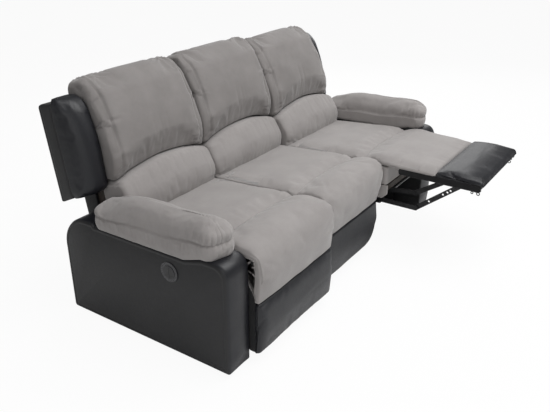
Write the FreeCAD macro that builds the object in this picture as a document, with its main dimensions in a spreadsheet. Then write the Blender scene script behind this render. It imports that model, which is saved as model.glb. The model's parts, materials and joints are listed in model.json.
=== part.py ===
import FreeCAD, Part
import Sketcher
import math
import os
import re

# Three-seat reclining sofa. The two end seats each carry a powered footrest linkage and a
# reclining back, the middle seat is fixed. The left seat is modelled closed and the right
# seat with its footrest out. Lengths are millimetres, +Z is up, the front faces -Y.
# Depths (y) are counted from the front faces of the arms and heights (z) from the floor.

V = FreeCAD.Vector
AXIS_X = V(1, 0, 0)
doc = FreeCAD.newDocument("reclining_sofa")
sheet = doc.addObject("Spreadsheet::Sheet", "Dims")

SIZES = {
    # whole sofa
    "width": 1900, "arm_width": 130, "origin_depth": 215, "side_gap": 3, "skin_gap": 0.3,
    # arms
    "arm_length": 838, "arm_foot": 20, "arm_front_top": 474, "arm_rear_top": 462,
    "arm_front_round": 75, "arm_rear_round": 140, "arm_edge_round": 16,
    "pad_start": 118, "pad_rear_gap": 183, "pad_seat": 452, "pad_top": 604, "pad_nose": 66,
    # arm switches
    "switch_depth": 260, "switch_height": 379, "bezel_rad": 40, "button_rad": 27,
    "bezel_proud": 3.5, "button_proud": 5, "button_body": 10, "button_travel": 2,
    "button_split": 0.8, "button_play": 0.4,
    # seats
    "seat_base": 352, "seat_front": 6, "seat_rear": 578, "seat_thick": 138, "seat_seam": 165,
    "seat_fall": 72, "seat_crown": 10, "cushion_side": 16,
    "board_thick": 12, "board_low": 282, "board_front": 8,
    "rail_low": 322, "rail_high": 350, "front_rail": 12, "rear_rail": 505, "rail_deep": 30,
    "strap_thick": 1.6, "strap_wide": 60,
    # footrest, in its own frame: s runs out from the fold line, and t up, when it is open
    "fold_depth": -30, "fold_height": 462, "pad_up": 18, "pad_down": 17, "fold_gap": 6,
    "leg_long": 192, "foot_long": 410, "pad_joint": 2, "ply_thick": 14.7, "ply_inset": 8,
    "bracket_start": 150, "bracket_end": 386, "bracket_drop": 30, "bracket_eye": 15,
    "bracket_flange": 24, "flange_thick": 1.8,
    # linkage pivots and bars
    "plate_thick": 4, "link_gap": 4, "bar_rad": 12, "pin_rad": 5, "pin_play": 0.05,
    "head_rad": 8, "head_thick": 1.7, "stack_start": 20,
    "front_pivot_depth": 90, "front_pivot_height": 255, "drive_pivot_depth": 75,
    "drive_pivot_height": 300, "front_bar": 220, "long_bar": 256, "drive_bar": 186,
    "upper_bar": 173, "long_reach": 300, "upper_reach": 225, "tie_rad": 8, "tie_along": 60,
    "swing_bar": 120, "seat_travel": 40, "swing_height": 150, "front_swing_depth": 170,
    "rear_swing_depth": 450, "torque_rad": 10, "lever_long": 70,
    # base frame
    "rail_bottom": 20, "cross_high": 60, "cross_deep": 25, "cross_front": 250,
    "cross_rear": 535, "plate_ear": 15, "glide_rad": 22,
    # actuator
    "anchor_depth": 262, "anchor_height": 82, "housing_rad": 17, "housing_long": 165,
    "motor_rad": 27, "motor_long": 78, "shaft_rad": 7, "bore_start": 100, "eye_rad": 12,
    "lever_thick": 5, "eye_thick": 6, "eye_play": 1,
    # back, in its own frame: v runs to the rear and u up from the recline pivot
    "back_pivot_depth": 600, "back_pivot_height": 400, "back_lean": 9, "rest_recline": 5,
    "frame_front": 112, "frame_rear": 150, "frame_top": 528,
    "panel_rear": 231, "panel_top": 536, "panel_low": -30,
    "wing_low": 154, "wing_rear_low": 130, "wing_wide": 116, "seam_up": 214, "back_top": 605,
    "lumbar_low": 30, "pillow_side": 22, "pillow_crown": 14, "upright_wide": 40,
    # middle front
    "middle_front": 10, "panel_boundary": 269, "panel_bottom": 56, "panel_thick": 30,
}
for row, (alias, size) in enumerate(SIZES.items(), 1):
    sheet.set("A%d" % row, alias)
    sheet.set("B%d" % row, str(size))
    sheet.setAlias("B%d" % row, alias)
doc.recompute()


def expr(text):
    """A size rule with every alias written as a cell of the sheet."""
    return re.sub(r"[a-z]+_[a-z_]+|\bwidth\b", lambda m: "Dims." + m.group(0), str(text))


def num(rule):
    """The value of a size rule."""
    return float(sheet.evalExpression(expr(rule)))


PITCH = "((width - 2 * arm_width) / 3)"
LAST = PITCH + " - side_gap"
PANEL_FRONT = "frame_rear + skin_gap"
PILLOW_REAR = "frame_front - skin_gap"
BOARD_TOP = "seat_base - skin_gap"
MIDDLE_BOX = "middle_front + panel_thick + 4"
SEAT_CREST = "seat_base + seat_thick"
PAD_END = "arm_length - pad_rear_gap"
SEATS = {"left": 0, "middle": 1, "right": 2}
OPEN = {"left": False, "middle": False, "right": True}


# Building blocks

def bind(item, **rules):
    for prop, rule in rules.items():
        item.setExpression(prop.replace("_", "."), expr(rule))


def seat_on(item, x, y, z):
    for axis, rule in zip("xyz", (x, y, z)):
        item.setExpression("Placement.Base." + axis, expr(rule))
    return item


def box(x, y, z, dx, dy, dz):
    item = doc.addObject("Part::Box", "block")
    bind(item, Length=dx, Width=dy, Height=dz)
    return seat_on(item, x, y, z)


def rod(x, y, z, length, radius):
    """A round bar that runs along X from (x, y, z)."""
    item = doc.addObject("Part::Cylinder", "rod")
    bind(item, Radius=radius, Height=length)
    item.Placement = FreeCAD.Placement(V(0, 0, 0), FreeCAD.Rotation(V(0, 1, 0), 90))
    return seat_on(item, x, y, z)


def fuse(parts):
    item = doc.addObject("Part::MultiFuse", "fused")
    item.Shapes = parts
    return item


def cut(base, tool):
    item = doc.addObject("Part::Cut", "cut")
    item.Base = base
    item.Tool = tool
    return item


def mirror(item, middle=PITCH + " / 2"):
    """The same part on the other side of its seat."""
    twin = doc.addObject("Part::Mirroring", "twin")
    twin.Source = item
    twin.Normal = AXIS_X
    twin.Base = V(num(middle), 0, 0)
    return twin


def plane(body, role):
    return [f for f in body.Origin.OriginFeatures if f.Role == role][0]


def start_sketch(name):
    body = doc.addObject("PartDesign::Body", name)
    sketch = body.newObject("Sketcher::SketchObject", name + "_outline")
    sketch.AttachmentSupport = [(plane(body, "YZ_Plane"), "")]
    sketch.MapMode = "FlatFace"
    return body, sketch


def pad_sketch(body, sketch, thick):
    pad = body.newObject("PartDesign::Pad", body.Name + "_pad")
    pad.Profile = sketch
    pad.setExpression("Length", expr(thick))
    return pad


def add_circle(sketch, y, z, radius):
    hole = sketch.addGeometry(Part.Circle(V(num(y), num(z), 0), V(0, 0, 1), num(radius)), False)
    for kind, rule in (("DistanceX", y), ("DistanceY", z)):
        mark = sketch.addConstraint(Sketcher.Constraint(kind, -1, 1, hole, 3, num(rule)))
        sketch.setExpression("Constraints[%d]" % mark, expr(rule))
    mark = sketch.addConstraint(Sketcher.Constraint("Radius", hole, num(radius)))
    sketch.setExpression("Constraints[%d]" % mark, expr(radius))


def plate(name, x, thick, corners, holes=(), rounds=()):
    """A flat piece: a side outline in (y, z) rules, padded along X from x.

    holes are (y, z, radius) rules, and rounds are (corner number, radius rule).
    """
    body, sketch = start_sketch(name)
    points = [(num(y), num(z)) for y, z in corners]
    count = len(corners)
    for i in range(count):
        a, b = points[i], points[(i + 1) % count]
        sketch.addGeometry(Part.LineSegment(V(a[0], a[1], 0), V(b[0], b[1], 0)), False)
    for i in range(count):
        sketch.addConstraint(Sketcher.Constraint("Coincident", i, 2, (i + 1) % count, 1))
    for i, corner in enumerate(corners):
        for kind, rule, value in zip(("DistanceX", "DistanceY"), corner, points[i]):
            mark = sketch.addConstraint(Sketcher.Constraint(kind, -1, 1, i, 1, value))
            sketch.setExpression("Constraints[%d]" % mark, expr(rule))
    for hole in holes:
        add_circle(sketch, *hole)
    tip = pad_sketch(body, sketch, thick)
    doc.recompute()
    for corner, radius in rounds:
        edges = corner_edges(tip.Shape, points[corner])
        tip = round_edges(body, tip, edges, radius)
    body.Tip = tip
    return seat_on(body, x, 0, 0)


def corner_edges(shape, point):
    """The edges along X that stand at a corner of a plate's outline."""
    found = []
    for i, edge in enumerate(shape.Edges, 1):
        ends = [vertex.Point for vertex in edge.Vertexes]
        near = all(abs(p.y - point[0]) < 0.01 and abs(p.z - point[1]) < 0.01 for p in ends)
        if near and len(ends) == 2:
            found.append("Edge%d" % i)
    return found


def round_edges(body, tip, edges, radius):
    fillet = body.newObject("PartDesign::Fillet", body.Name + "_round")
    fillet.Base = (tip, edges)
    fillet.setExpression("Radius", expr(radius))
    doc.recompute()
    return fillet


def bar(name, length, holes):
    """A link bar: a slot outline along +y from its first eye, with holes at both eyes."""
    body, sketch = start_sketch(name)
    reach, r = num(length), num("bar_rad")
    quarter = math.pi / 2
    sketch.addGeometry(Part.LineSegment(V(0, r, 0), V(reach, r, 0)), False)
    sketch.addGeometry(Part.ArcOfCircle(Part.Circle(V(reach, 0, 0), V(0, 0, 1), r),
                                        -quarter, quarter), False)
    sketch.addGeometry(Part.LineSegment(V(reach, -r, 0), V(0, -r, 0)), False)
    sketch.addGeometry(Part.ArcOfCircle(Part.Circle(V(0, 0, 0), V(0, 0, 1), r),
                                        quarter, 3 * quarter), False)
    for a, a_end, b, b_end in ((0, 2, 1, 2), (1, 1, 2, 1), (2, 2, 3, 2), (3, 1, 0, 1)):
        sketch.addConstraint(Sketcher.Constraint("Tangent", a, a_end, b, b_end))
    sketch.addConstraint(Sketcher.Constraint("Coincident", 3, 3, -1, 1))
    sketch.addConstraint(Sketcher.Constraint("PointOnObject", 1, 3, -1))
    mark = sketch.addConstraint(Sketcher.Constraint("DistanceX", -1, 1, 1, 3, reach))
    sketch.setExpression("Constraints[%d]" % mark, expr(length))
    mark = sketch.addConstraint(Sketcher.Constraint("Radius", 1, r))
    sketch.setExpression("Constraints[%d]" % mark, expr("bar_rad"))
    sketch.addConstraint(Sketcher.Constraint("Equal", 1, 3))
    for along in holes:
        add_circle(sketch, along, "0", "pin_rad + pin_play")
    pad_sketch(body, sketch, "plate_thick")
    return body


# Soft forms: closed lofts through rounded outlines

def rounded_wire(points, radii, to_space):
    """A closed outline of straight runs whose corners are arcs of the given radii."""
    count = len(points)
    runs = []
    for i in range(count):
        here = V(points[i][0], points[i][1], 0)
        back = V(points[i - 1][0], points[i - 1][1], 0).sub(here)
        ahead_point = points[(i + 1) % count]
        ahead = V(ahead_point[0], ahead_point[1], 0).sub(here)
        back.normalize()
        ahead.normalize()
        half = math.acos(max(-1, min(1, back.dot(ahead)))) / 2
        trim = radii[i] / math.tan(half)
        start = here.add(V(back).multiply(trim))
        end = here.add(V(ahead).multiply(trim))
        middle_way = back.add(ahead)
        middle_way.normalize()
        middle = here.add(middle_way.multiply(radii[i] / math.sin(half) - radii[i]))
        runs.append((start, middle, end))
    edges = []
    for i, (start, middle, end) in enumerate(runs):
        arc = Part.Arc(to_space(start), to_space(middle), to_space(end))
        edges.append(arc.toShape())
        nearest = runs[(i + 1) % count][0]
        edges.append(Part.LineSegment(to_space(end), to_space(nearest)).toShape())
    return Part.Wire(edges)



def feature(shape):
    item = doc.addObject("Part::Feature", "form")
    item.Shape = shape
    return item


# Motion: where each body lies with its seat closed or open

def shift(x, y, z):
    return FreeCAD.Placement(V(x, y, z), FreeCAD.Rotation())


def turn(y, z, degrees):
    """A turn about the X axis through (y, z)."""
    return FreeCAD.Placement(V(0, 0, 0), FreeCAD.Rotation(AXIS_X, degrees), V(0, y, z))


def meet(a, ra, b, rb, pick):
    """Where circles round a and b meet: the crossing for which pick is largest."""
    dy, dz = b[0] - a[0], b[1] - a[1]
    gap = math.hypot(dy, dz)
    along = (ra * ra - rb * rb + gap * gap) / (2 * gap)
    off = math.sqrt(ra * ra - along * along)
    both = [(a[0] + (dy * along + sign * dz * off) / gap,
             a[1] + (dz * along - sign * dy * off) / gap) for sign in (1, -1)]
    return max(both, key=pick)


def heading(a, b):
    return math.degrees(math.atan2(b[1] - a[1], b[0] - a[0]))


def spot(depth, height):
    return (num(depth), num(height))


FOLD = spot("fold_depth", "fold_height")
FRONT_PIVOT = spot("front_pivot_depth", "front_pivot_height")
DRIVE_PIVOT = spot("drive_pivot_depth", "drive_pivot_height")
BACK_PIVOT = spot("back_pivot_depth", "back_pivot_height")
EYE_DROP = num("pad_down + ply_thick + skin_gap + bracket_eye")
SWING_LEAN = math.degrees(math.asin(num("seat_travel") / 2 / num("swing_bar")))
SWING_RISE = math.sqrt(num("swing_bar") ** 2 - (num("seat_travel") / 2) ** 2)
SWING_TOP = num("swing_height") + SWING_RISE
ANCHOR = spot("anchor_depth", "anchor_height")
REAR_SWING = spot("rear_swing_depth", "swing_height")
FRONT_SWING = spot("front_swing_depth", "swing_height")


def footrest_point(along, is_open):
    """A bracket eye, in the closed seat's frame."""
    if is_open:
        return (FOLD[0] - along, FOLD[1] - EYE_DROP)
    return (FOLD[0] + EYE_DROP, FOLD[1] - along)


def linkage(is_open):
    """The knees, eyes and headings of the footrest bars, in the seat carriage's frame."""
    def lowest(p):
        return -p[1]
    long_eye = footrest_point(num("long_reach"), is_open)
    upper_eye = footrest_point(num("upper_reach"), is_open)
    front_knee = meet(FRONT_PIVOT, num("front_bar"), long_eye, num("long_bar"), lowest)
    drive_knee = meet(DRIVE_PIVOT, num("drive_bar"), upper_eye, num("upper_bar"), lowest)
    return {"front_knee": front_knee, "drive_knee": drive_knee,
            "long_eye": long_eye, "upper_eye": upper_eye,
            "front": heading(FRONT_PIVOT, front_knee), "long": heading(front_knee, long_eye),
            "drive": heading(DRIVE_PIVOT, drive_knee), "upper": heading(drive_knee, upper_eye)}


def swing_angle(is_open):
    """Lean of the swing bars from upright, as a turn about +X."""
    return SWING_LEAN if is_open else -SWING_LEAN


def lever_tip(is_open):
    lean = math.radians(swing_angle(is_open))
    return (REAR_SWING[0] - num("lever_long") * math.sin(lean),
            REAR_SWING[1] + num("lever_long") * math.cos(lean))


def carriage_move(is_open):
    return shift(0, -num("seat_travel") if is_open else 0, 0)


def module_move(seat):
    x = -num("width") / 2 + num("arm_width") + SEATS[seat] * num(PITCH)
    return shift(x, -num("origin_depth"), 0)


SHIFT = {seat: module_move(seat) for seat in SEATS}
nodes = {}


def group(parts):
    item = doc.addObject("Part::Compound", "group")
    item.Links = parts
    return item


def node(name, item, placement):
    """Names a finished sub-part and sets it in its place in the sofa."""
    holder = group([item])
    holder.Label = name
    holder.Placement = placement
    nodes[name] = holder
    return holder


def both_sides(item):
    return group([item, mirror(item)])


# The planes of the plates and bars, counted from the side of a seat towards its middle

LAYERS = ("base", "swing", "seat", "front", "long", "bracket", "upper", "drive")


def layer(name):
    return "stack_start + %d * (plate_thick + link_gap)" % LAYERS.index(name)


def pin(first, last, y, z, inward=True):
    """A pivot pin from the face of one layer through another, with its head beyond."""
    if inward:
        start = "%s + plate_thick" % layer(first)
        length = "%s + plate_thick + skin_gap - (%s)" % (layer(last), start)
        head = "%s + plate_thick + skin_gap" % layer(last)
    else:
        start = "%s - skin_gap" % layer(last)
        length = "%s - (%s)" % (layer(first), start)
        head = "%s - skin_gap - head_thick" % layer(last)
    return [rod(start, y, z, length, "pin_rad"), rod(head, y, z, "head_thick", "head_rad")]


def stub(layer_name, y, z, inward):
    """A rivet head on one face of a bar, at a pivot that is left open."""
    x = "%s + plate_thick" % layer(layer_name) if inward else layer(layer_name) + " - head_thick"
    return rod(x, y, z, "head_thick", "head_rad")


def lay_bar(body, layer_name, start, degrees):
    body.Placement = FreeCAD.Placement(V(num(layer(layer_name)), start[0], start[1]),
                                       FreeCAD.Rotation(AXIS_X, degrees))
    return body


# Base frame, arms and switches

def base_plate(seat):
    """One side's upright plate of the base frame, with the ears of both swing pivots."""
    ear = "swing_height + plate_ear"
    corners = [("front_swing_depth - 20", "rail_bottom"), ("cross_rear + cross_deep", "rail_bottom"),
               ("cross_rear + cross_deep", "cross_high"),
               ("rear_swing_depth + plate_ear + 6", "cross_high + 22"),
               ("rear_swing_depth + plate_ear", ear), ("rear_swing_depth - plate_ear", ear),
               ("rear_swing_depth - plate_ear - 6", "cross_high + 22"),
               ("front_swing_depth + plate_ear + 6", "cross_high + 12"),
               ("front_swing_depth + plate_ear", ear), ("front_swing_depth - plate_ear", ear)]
    holes = [("rear_swing_depth", "swing_height", "torque_rad + pin_play")]
    side = plate(seat + "_base_plate", layer("base"), "plate_thick", corners, holes,
                 [(4, "plate_ear - 2"), (5, "plate_ear - 2"), (8, "plate_ear - 2")])
    pivot = pin("base", "swing", "front_swing_depth", "swing_height")
    return fuse([side] + pivot)


def anchor_lug():
    """The bracket on the front cross rail that holds the foot of the actuator."""
    ear = "anchor_height + eye_rad"
    corners = [("cross_front", "cross_high"), ("cross_front + cross_deep", "cross_high"),
               ("cross_front + cross_deep", ear), ("cross_front", ear)]
    middle = PITCH + " / 2"
    side = plate("anchor_lug", middle + " + eye_thick / 2 + link_gap / 2", "plate_thick", corners)
    other = mirror(side)
    bolt = rod(middle + " - eye_thick / 2 - link_gap / 2 - plate_thick", "anchor_depth",
               "anchor_height", "eye_thick + link_gap + 2 * plate_thick", "pin_rad")
    return fuse([side, other, bolt])


def base_frame():
    parts = []
    reach = "width - 2 * arm_width"
    for depth in ("cross_front", "cross_rear"):
        rail = box("-(%s) / 2" % reach, depth + " - origin_depth", "rail_bottom", reach,
                   "cross_deep", "cross_high - rail_bottom")
        parts.append(rail)
    for seat in ("left", "right"):
        side = base_plate(seat)
        for item in (side, mirror(side), anchor_lug()):
            carrier = group([item])
            carrier.Placement = SHIFT[seat]
            parts.append(carrier)
    node("base_frame", fuse(parts), FreeCAD.Placement())


def floor_glides():
    feet = []
    for side in (-1, 1):
        for depth in ("110", "arm_length - 90"):
            feet.append(("%d * (width / 2 - arm_width / 2)" % side, depth))
    for depth in ("cross_front + cross_deep / 2", "cross_rear + cross_deep / 2"):
        for side in (-1, 1):
            feet.append(("%d * %s / 2" % (side, PITCH), depth))
    glides = []
    for x, y in feet:
        glide = doc.addObject("Part::Cone", "glide")
        bind(glide, Radius1="glide_rad * 0.8", Radius2="glide_rad", Height="rail_bottom")
        glides.append(seat_on(glide, x, y + " - origin_depth", "0"))
    node("floor_glides", group(glides), FreeCAD.Placement())


def arm_place(side):
    x = -num("width") / 2 if side == "left" else num("width / 2 - arm_width")
    return shift(x, -num("origin_depth"), 0)


def arm(side):
    """An arm's casing: a rounded front roll, a seat for the pad and a rounded rear end."""
    corners = [("0", "arm_foot"), ("0", "arm_front_top"), ("pad_start", "arm_front_top"),
               ("pad_start", "pad_seat"), (PAD_END, "pad_seat"), (PAD_END, "arm_rear_top"),
               ("arm_length", "arm_rear_top"), ("arm_length", "arm_foot")]
    casing = plate(side + "_arm_casing", "0", "arm_width", corners, (),
                   [(1, "arm_front_round"), (6, "arm_rear_round"), (7, "arm_edge_round")])
    tip = casing.Tip
    front = [("Edge%d" % i) for i, edge in enumerate(tip.Shape.Edges, 1)
             if edge.BoundBox.XLength < 0.01 and edge.BoundBox.YMax < num("arm_front_round") + 0.01
             and edge.BoundBox.ZLength > 1]
    casing.Tip = round_edges(casing, tip, front, "arm_edge_round")
    if side == "left":
        well = rod("-1", "switch_depth", "switch_height",
                   "1 + button_body + 2 * button_travel - button_proud", "button_rad")
    else:
        well = rod("arm_width + button_proud - button_body - 2 * button_travel", "switch_depth",
                   "switch_height", "1 + button_body + 2 * button_travel - button_proud",
                   "button_rad")
    node(side + "_arm", cut(casing, well), arm_place(side))


def arm_pad(side):
    """The pillow on an arm: a boxed strip below a crowned top, drawn in at both ends."""
    wide = num("arm_width")
    low, top = num("pad_seat + skin_gap"), num("pad_top")
    start, end, nose = num("pad_start"), num(PAD_END), num("pad_nose")
    over = num("arm_front_top + skin_gap") + 2
    inner_reach, outer_reach = wide - 1, -8
    # each row: depth outside, depth inside, underside, top, how far its sides are drawn in
    rows = [(start - 6, nose - 14, over + 26, top - 62, 20), (start, nose, over, top - 28, 6),
            (start + 2, start + 2, over, top - 12, 1), (start + 6, start + 6, low, top - 8, 0),
            (280, 280, low, top, 0), (450, 450, low, top - 6, 0),
            (end - 65, end - 65, low, top - 42, 1), (end - 12, end - 12, low, top - 98, 12)]
    wires = []
    for y_out, y_in, z_low, z_top, inset in rows:
        x_out, x_in = outer_reach + inset, inner_reach - inset
        shoulder = z_low + (z_top - z_low) * 0.55
        outline = [(x_out, z_low), (x_in, z_low), (x_in, shoulder), (x_in - 26, z_top - 4),
                   (wide / 2, z_top), (x_out + 26, z_top - 4), (x_out, shoulder)]
        radii = [5, 5, 22, 16, 30, 16, 22]
        size = min(1, (z_top - z_low) / 110)

        def to_space(p, y_out=y_out, y_in=y_in):
            share = (p.x - outer_reach) / (inner_reach - outer_reach)
            x = p.x if side == "left" else wide - p.x
            return V(x, y_out + (y_in - y_out) * share, p.y)
        wires.append(rounded_wire(outline, [r * size for r in radii], to_space))
    node(side + "_arm_pad", feature(Part.makeLoft(wires, True, True)), arm_place(side))


def switch_bezels():
    rings = []
    for side in ("left", "right"):
        x = "-width / 2 - bezel_proud" if side == "left" else "width / 2"
        y = "switch_depth - origin_depth"
        rings.append(cut(rod(x, y, "switch_height", "bezel_proud", "bezel_rad"),
                         rod(x, y, "switch_height", "bezel_proud", "button_rad")))
    node("switch_bezels", group(rings), FreeCAD.Placement())


def button(side, use):
    """One of a switch's two half-round push buttons: open lies in front, close behind."""
    x = "-button_proud" if side == "left" else "arm_width + button_proud - button_body"
    disc = rod(x, "switch_depth", "switch_height", "button_body", "button_rad - button_play")
    front = use == "open"
    depth = "switch_depth - button_rad" if front else "switch_depth + button_split / 2"
    half = box(x, depth, "switch_height - button_rad", "button_body",
               "button_rad - button_split / 2", "2 * button_rad")
    common = doc.addObject("Part::MultiCommon", "half")
    common.Shapes = [disc, half]
    node("%s_%s_button" % (side, use), common, arm_place(side))


# Seats

def seat_profile(front, nose):
    """Side outline of a seat cushion, with the swell of each point."""
    base = num("seat_base")
    seam, rear = num("seat_seam"), num("seat_rear")
    crest = num(SEAT_CREST)
    dip = crest - num("seat_fall")
    crown = num("seat_crown")
    up = (0, crown)
    points = list(nose)
    points += [(65, crest, up), (seam, crest - 14, (0, crown * 0.7)), (350, crest - 30, up),
               (rear - 60, dip + 12, up), (rear, dip - 14, 0), (rear, base, 0), (front, base, 0)]
    return points


def recliner_cushion(seat):
    """A seat cushion whose front lip reaches over the fold of the footrest."""
    fold_y, fold_z = FOLD
    lip_low = fold_z - 1
    lip_top = fold_z + num("pad_up")
    nose = [(num("seat_front"), lip_low, 0), (fold_y - 2, lip_low, 0), (fold_y - 2, lip_top, 0)]
    points = seat_profile(num("seat_front"), nose)
    radii = [1, 2, 12, 60, 60, 80, 60, 20, 8, 6]
    first, last = num("side_gap + 0.5"), num(LAST) - 0.5
    stations = [(0, 0, 0), (0.03, 0.55, 0), (0.14, 0.8, 0), (0.5, 1, 0), (0.86, 0.8, 0),
                (0.97, 0.55, 0), (1, 0, 0)]
    node(seat + "_seat_cushion", feature(lofted_seat(points, radii, first, last, stations)),
         module_move(seat).multiply(carriage_move(OPEN[seat])))


def lofted_seat(points, radii, first, last, stations):
    """A seat cushion: its underside stays flat while its top swells to the middle."""
    side = num("cushion_side")
    wires = []
    for share, swell, _ in stations:
        x = first + share * (last - first)
        drop = side * (1 - swell) * 0.7
        outline = []
        for y, z, up in points:
            if up:
                outline.append((y, z + up[1] * swell - drop))
            else:
                outline.append((y, z))
        wires.append(rounded_wire(outline, radii, lambda p, x=x: V(x, p.x, p.y)))
    return Part.makeLoft(wires, True, True)


def middle_cushion():
    """The fixed seat: one cushion that rolls over the front and down to the black panel."""
    front = num("middle_front")
    boundary = num("panel_boundary + skin_gap")
    crest = num(SEAT_CREST)
    inner = num(MIDDLE_BOX + " - skin_gap")
    nose = [(inner, boundary, 0), (front + 4, boundary, 0), (front - 20, 400, 0),
            (front + 6, crest - 10, 0)]
    points = seat_profile(inner, nose)[:-1] + [(inner, num("seat_base"), 0)]
    radii = [4, 8, 50, 34, 60, 60, 80, 60, 20, 8, 1]
    first, last = num("side_gap + 0.5"), num(LAST) - 0.5
    stations = [(0, 0, 0), (0.03, 0.55, 0), (0.14, 0.8, 0), (0.5, 1, 0), (0.86, 0.8, 0),
                (0.97, 0.55, 0), (1, 0, 0)]
    node("middle_seat_cushion", feature(lofted_seat(points, radii, first, last, stations)),
         module_move("middle"))


def seat_rails():
    """The cross rails of a seat box and the straps stretched over them."""
    inside = "side_gap + board_thick"
    long_run = "%s - 2 * (%s)" % (PITCH, inside)
    parts = [box(inside, depth, "rail_low", long_run, "rail_deep", "rail_high - rail_low")
             for depth in ("front_rail", "rear_rail")]
    for i in range(5):
        x = "%s / 2 + %d * 90 - strap_wide / 2" % (PITCH, i - 2)
        parts.append(box(x, "front_rail", "rail_high", "strap_wide",
                         "rear_rail + rail_deep - front_rail", "strap_thick"))
    return fuse(parts)


def side_boards(name, low, front):
    """The cloth-covered boards at both sides of a seat box."""
    corners = [(front, low + " + 26"), (front + " + 26", low), ("seat_rear - 20", low),
               ("seat_rear - 20", BOARD_TOP), (front, BOARD_TOP)]
    return both_sides(plate(name, "side_gap", "board_thick", corners))


def recliner_seat(seat):
    move = carriage_move(OPEN[seat])

    def put(name, item):
        node(seat + "_" + name, item, module_move(seat).multiply(move))
    put("seat_side_boards", side_boards(seat + "_side_board", "board_low", "board_front"))
    put("seat_frame", seat_rails())
    put("seat_plates", seat_plates(seat))
    recliner_cushion(seat)


def seat_plates(seat):
    """The steel side plates that carry the seat box, the linkage pins and the back pivot."""
    swing_top = repr(round(SWING_TOP, 4))
    half = repr(num("seat_travel") / 2)
    rear_eye, front_eye = "rear_swing_depth + " + half, "front_swing_depth + " + half
    low = "front_pivot_height - 17"
    pivot_y, pivot_z = "back_pivot_depth", "back_pivot_height"
    corners = [("46", "rail_low"), ("46", low), ("front_pivot_depth + 40", low),
               (front_eye + " + 20", swing_top + " - 18"), (rear_eye + " - 40", swing_top + " - 6"),
               (rear_eye, swing_top + " - 18"), (rear_eye + " + 26", swing_top + " - 8"),
               (pivot_y + " + 14", "rail_low"), (pivot_y + " + 14", pivot_z + " + 14"),
               (pivot_y + " - 14", pivot_z + " + 14"), (pivot_y + " - 14", "seat_base - 8"),
               ("rear_rail + rail_deep + 8", "rail_low")]
    side = plate(seat + "_seat_plate", layer("seat"), "plate_thick", corners, (),
                 [(1, "14"), (8, "12"), (9, "12")])
    pins = pin("seat", "front", "front_pivot_depth", "front_pivot_height")
    pins += pin("seat", "drive", "drive_pivot_depth", "drive_pivot_height")
    pins += pin("seat", "swing", rear_eye, swing_top, inward=False)
    pins += pin("seat", "swing", front_eye, swing_top, inward=False)
    pins += pin("seat", "front", pivot_y, pivot_z)
    return both_sides(fuse([side] + pins))


def swing_links(seat, which):
    """A pair of swing bars. The rear pair is joined by a torque tube with the drive lever."""
    is_open = OPEN[seat]
    depth = which + "_swing_depth"
    top = ["swing_bar"] if which == "rear" else ["0", "swing_bar"]
    link = bar(seat + "_%s_swing" % which, "swing_bar", top)
    lay_bar(link, "swing", (0, 0), 90)
    pieces = [link, mirror(link)]
    if which == "rear":
        middle = PITCH + " / 2"
        tube_start = "stack_start - 2"
        pieces.append(rod(tube_start, "0", "0", PITCH + " - 2 * (%s)" % tube_start, "torque_rad"))
        eye = "lever_long"
        lever = plate(seat + "_lever", middle + " + eye_thick / 2 + 1", "lever_thick",
                      [("-torque_rad", "0"), ("torque_rad", "0"), ("eye_rad", eye + " + eye_rad"),
                       ("-eye_rad", eye + " + eye_rad")], (),
                      [(2, "eye_rad - 1"), (3, "eye_rad - 1")])
        bolt = rod(middle + " - eye_thick / 2 - 1", "0", eye, "eye_thick + 2", "pin_rad - 0.5")
        head = rod(middle + " - eye_thick / 2 - 1 - head_thick", "0", eye, "head_thick",
                   "head_rad + 1")
        pieces += [lever, bolt, head]
        item = fuse(pieces)
    else:
        item = group(pieces)
    centre = spot(depth, "swing_height")
    place = shift(0, centre[0], centre[1]).multiply(turn(0, 0, swing_angle(is_open)))
    node("%s_%s_swing_links" % (seat, which), item, module_move(seat).multiply(place))


def footrest_links(seat):
    """The four pairs of footrest bars, laid between their pivots as the seat stands."""
    at = linkage(OPEN[seat])
    place = module_move(seat).multiply(carriage_move(OPEN[seat]))

    def knee_pin(first, last, point, inward):
        return pin(first, last, repr(point[0]), repr(point[1]), inward)

    front = lay_bar(bar(seat + "_front_bar", "front_bar", ["0"]), "front", FRONT_PIVOT,
                    at["front"])
    front = fuse([front] + knee_pin("front", "long", at["front_knee"], True))
    node(seat + "_front_links", both_sides(front), place)

    holes = ["0", "long_bar", "long_bar * 0.3", "long_bar * 0.62", "long_bar * 0.72",
             "long_bar * 0.79"]
    long_one = lay_bar(bar(seat + "_long_bar", "long_bar", holes[:1] + holes[2:]), "long",
                       at["front_knee"], at["long"])
    eye = at["long_eye"]
    long_one = fuse([long_one, stub("long", repr(eye[0]), repr(eye[1]), False)])
    node(seat + "_long_links", both_sides(long_one), place)

    drive = lay_bar(bar(seat + "_drive_bar", "drive_bar", ["0"]), "drive", DRIVE_PIVOT,
                    at["drive"])
    lean = math.radians(at["drive"])
    along = num("tie_along")
    tie = (DRIVE_PIVOT[0] + along * math.cos(lean), DRIVE_PIVOT[1] + along * math.sin(lean))
    tube = rod(layer("drive"), repr(tie[0]), repr(tie[1]), PITCH + " - 2 * (%s)" % layer("drive"),
               "tie_rad")
    half = fuse([drive] + knee_pin("drive", "upper", at["drive_knee"], False))
    node(seat + "_drive_links", fuse([half, mirror(half), tube]), place)

    upper = lay_bar(bar(seat + "_upper_bar", "upper_bar", ["0"]), "upper", at["drive_knee"],
                    at["upper"])
    eye = at["upper_eye"]
    upper = fuse([upper, stub("upper", repr(eye[0]), repr(eye[1]), True)])
    node(seat + "_upper_links", both_sides(upper), place)


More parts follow.
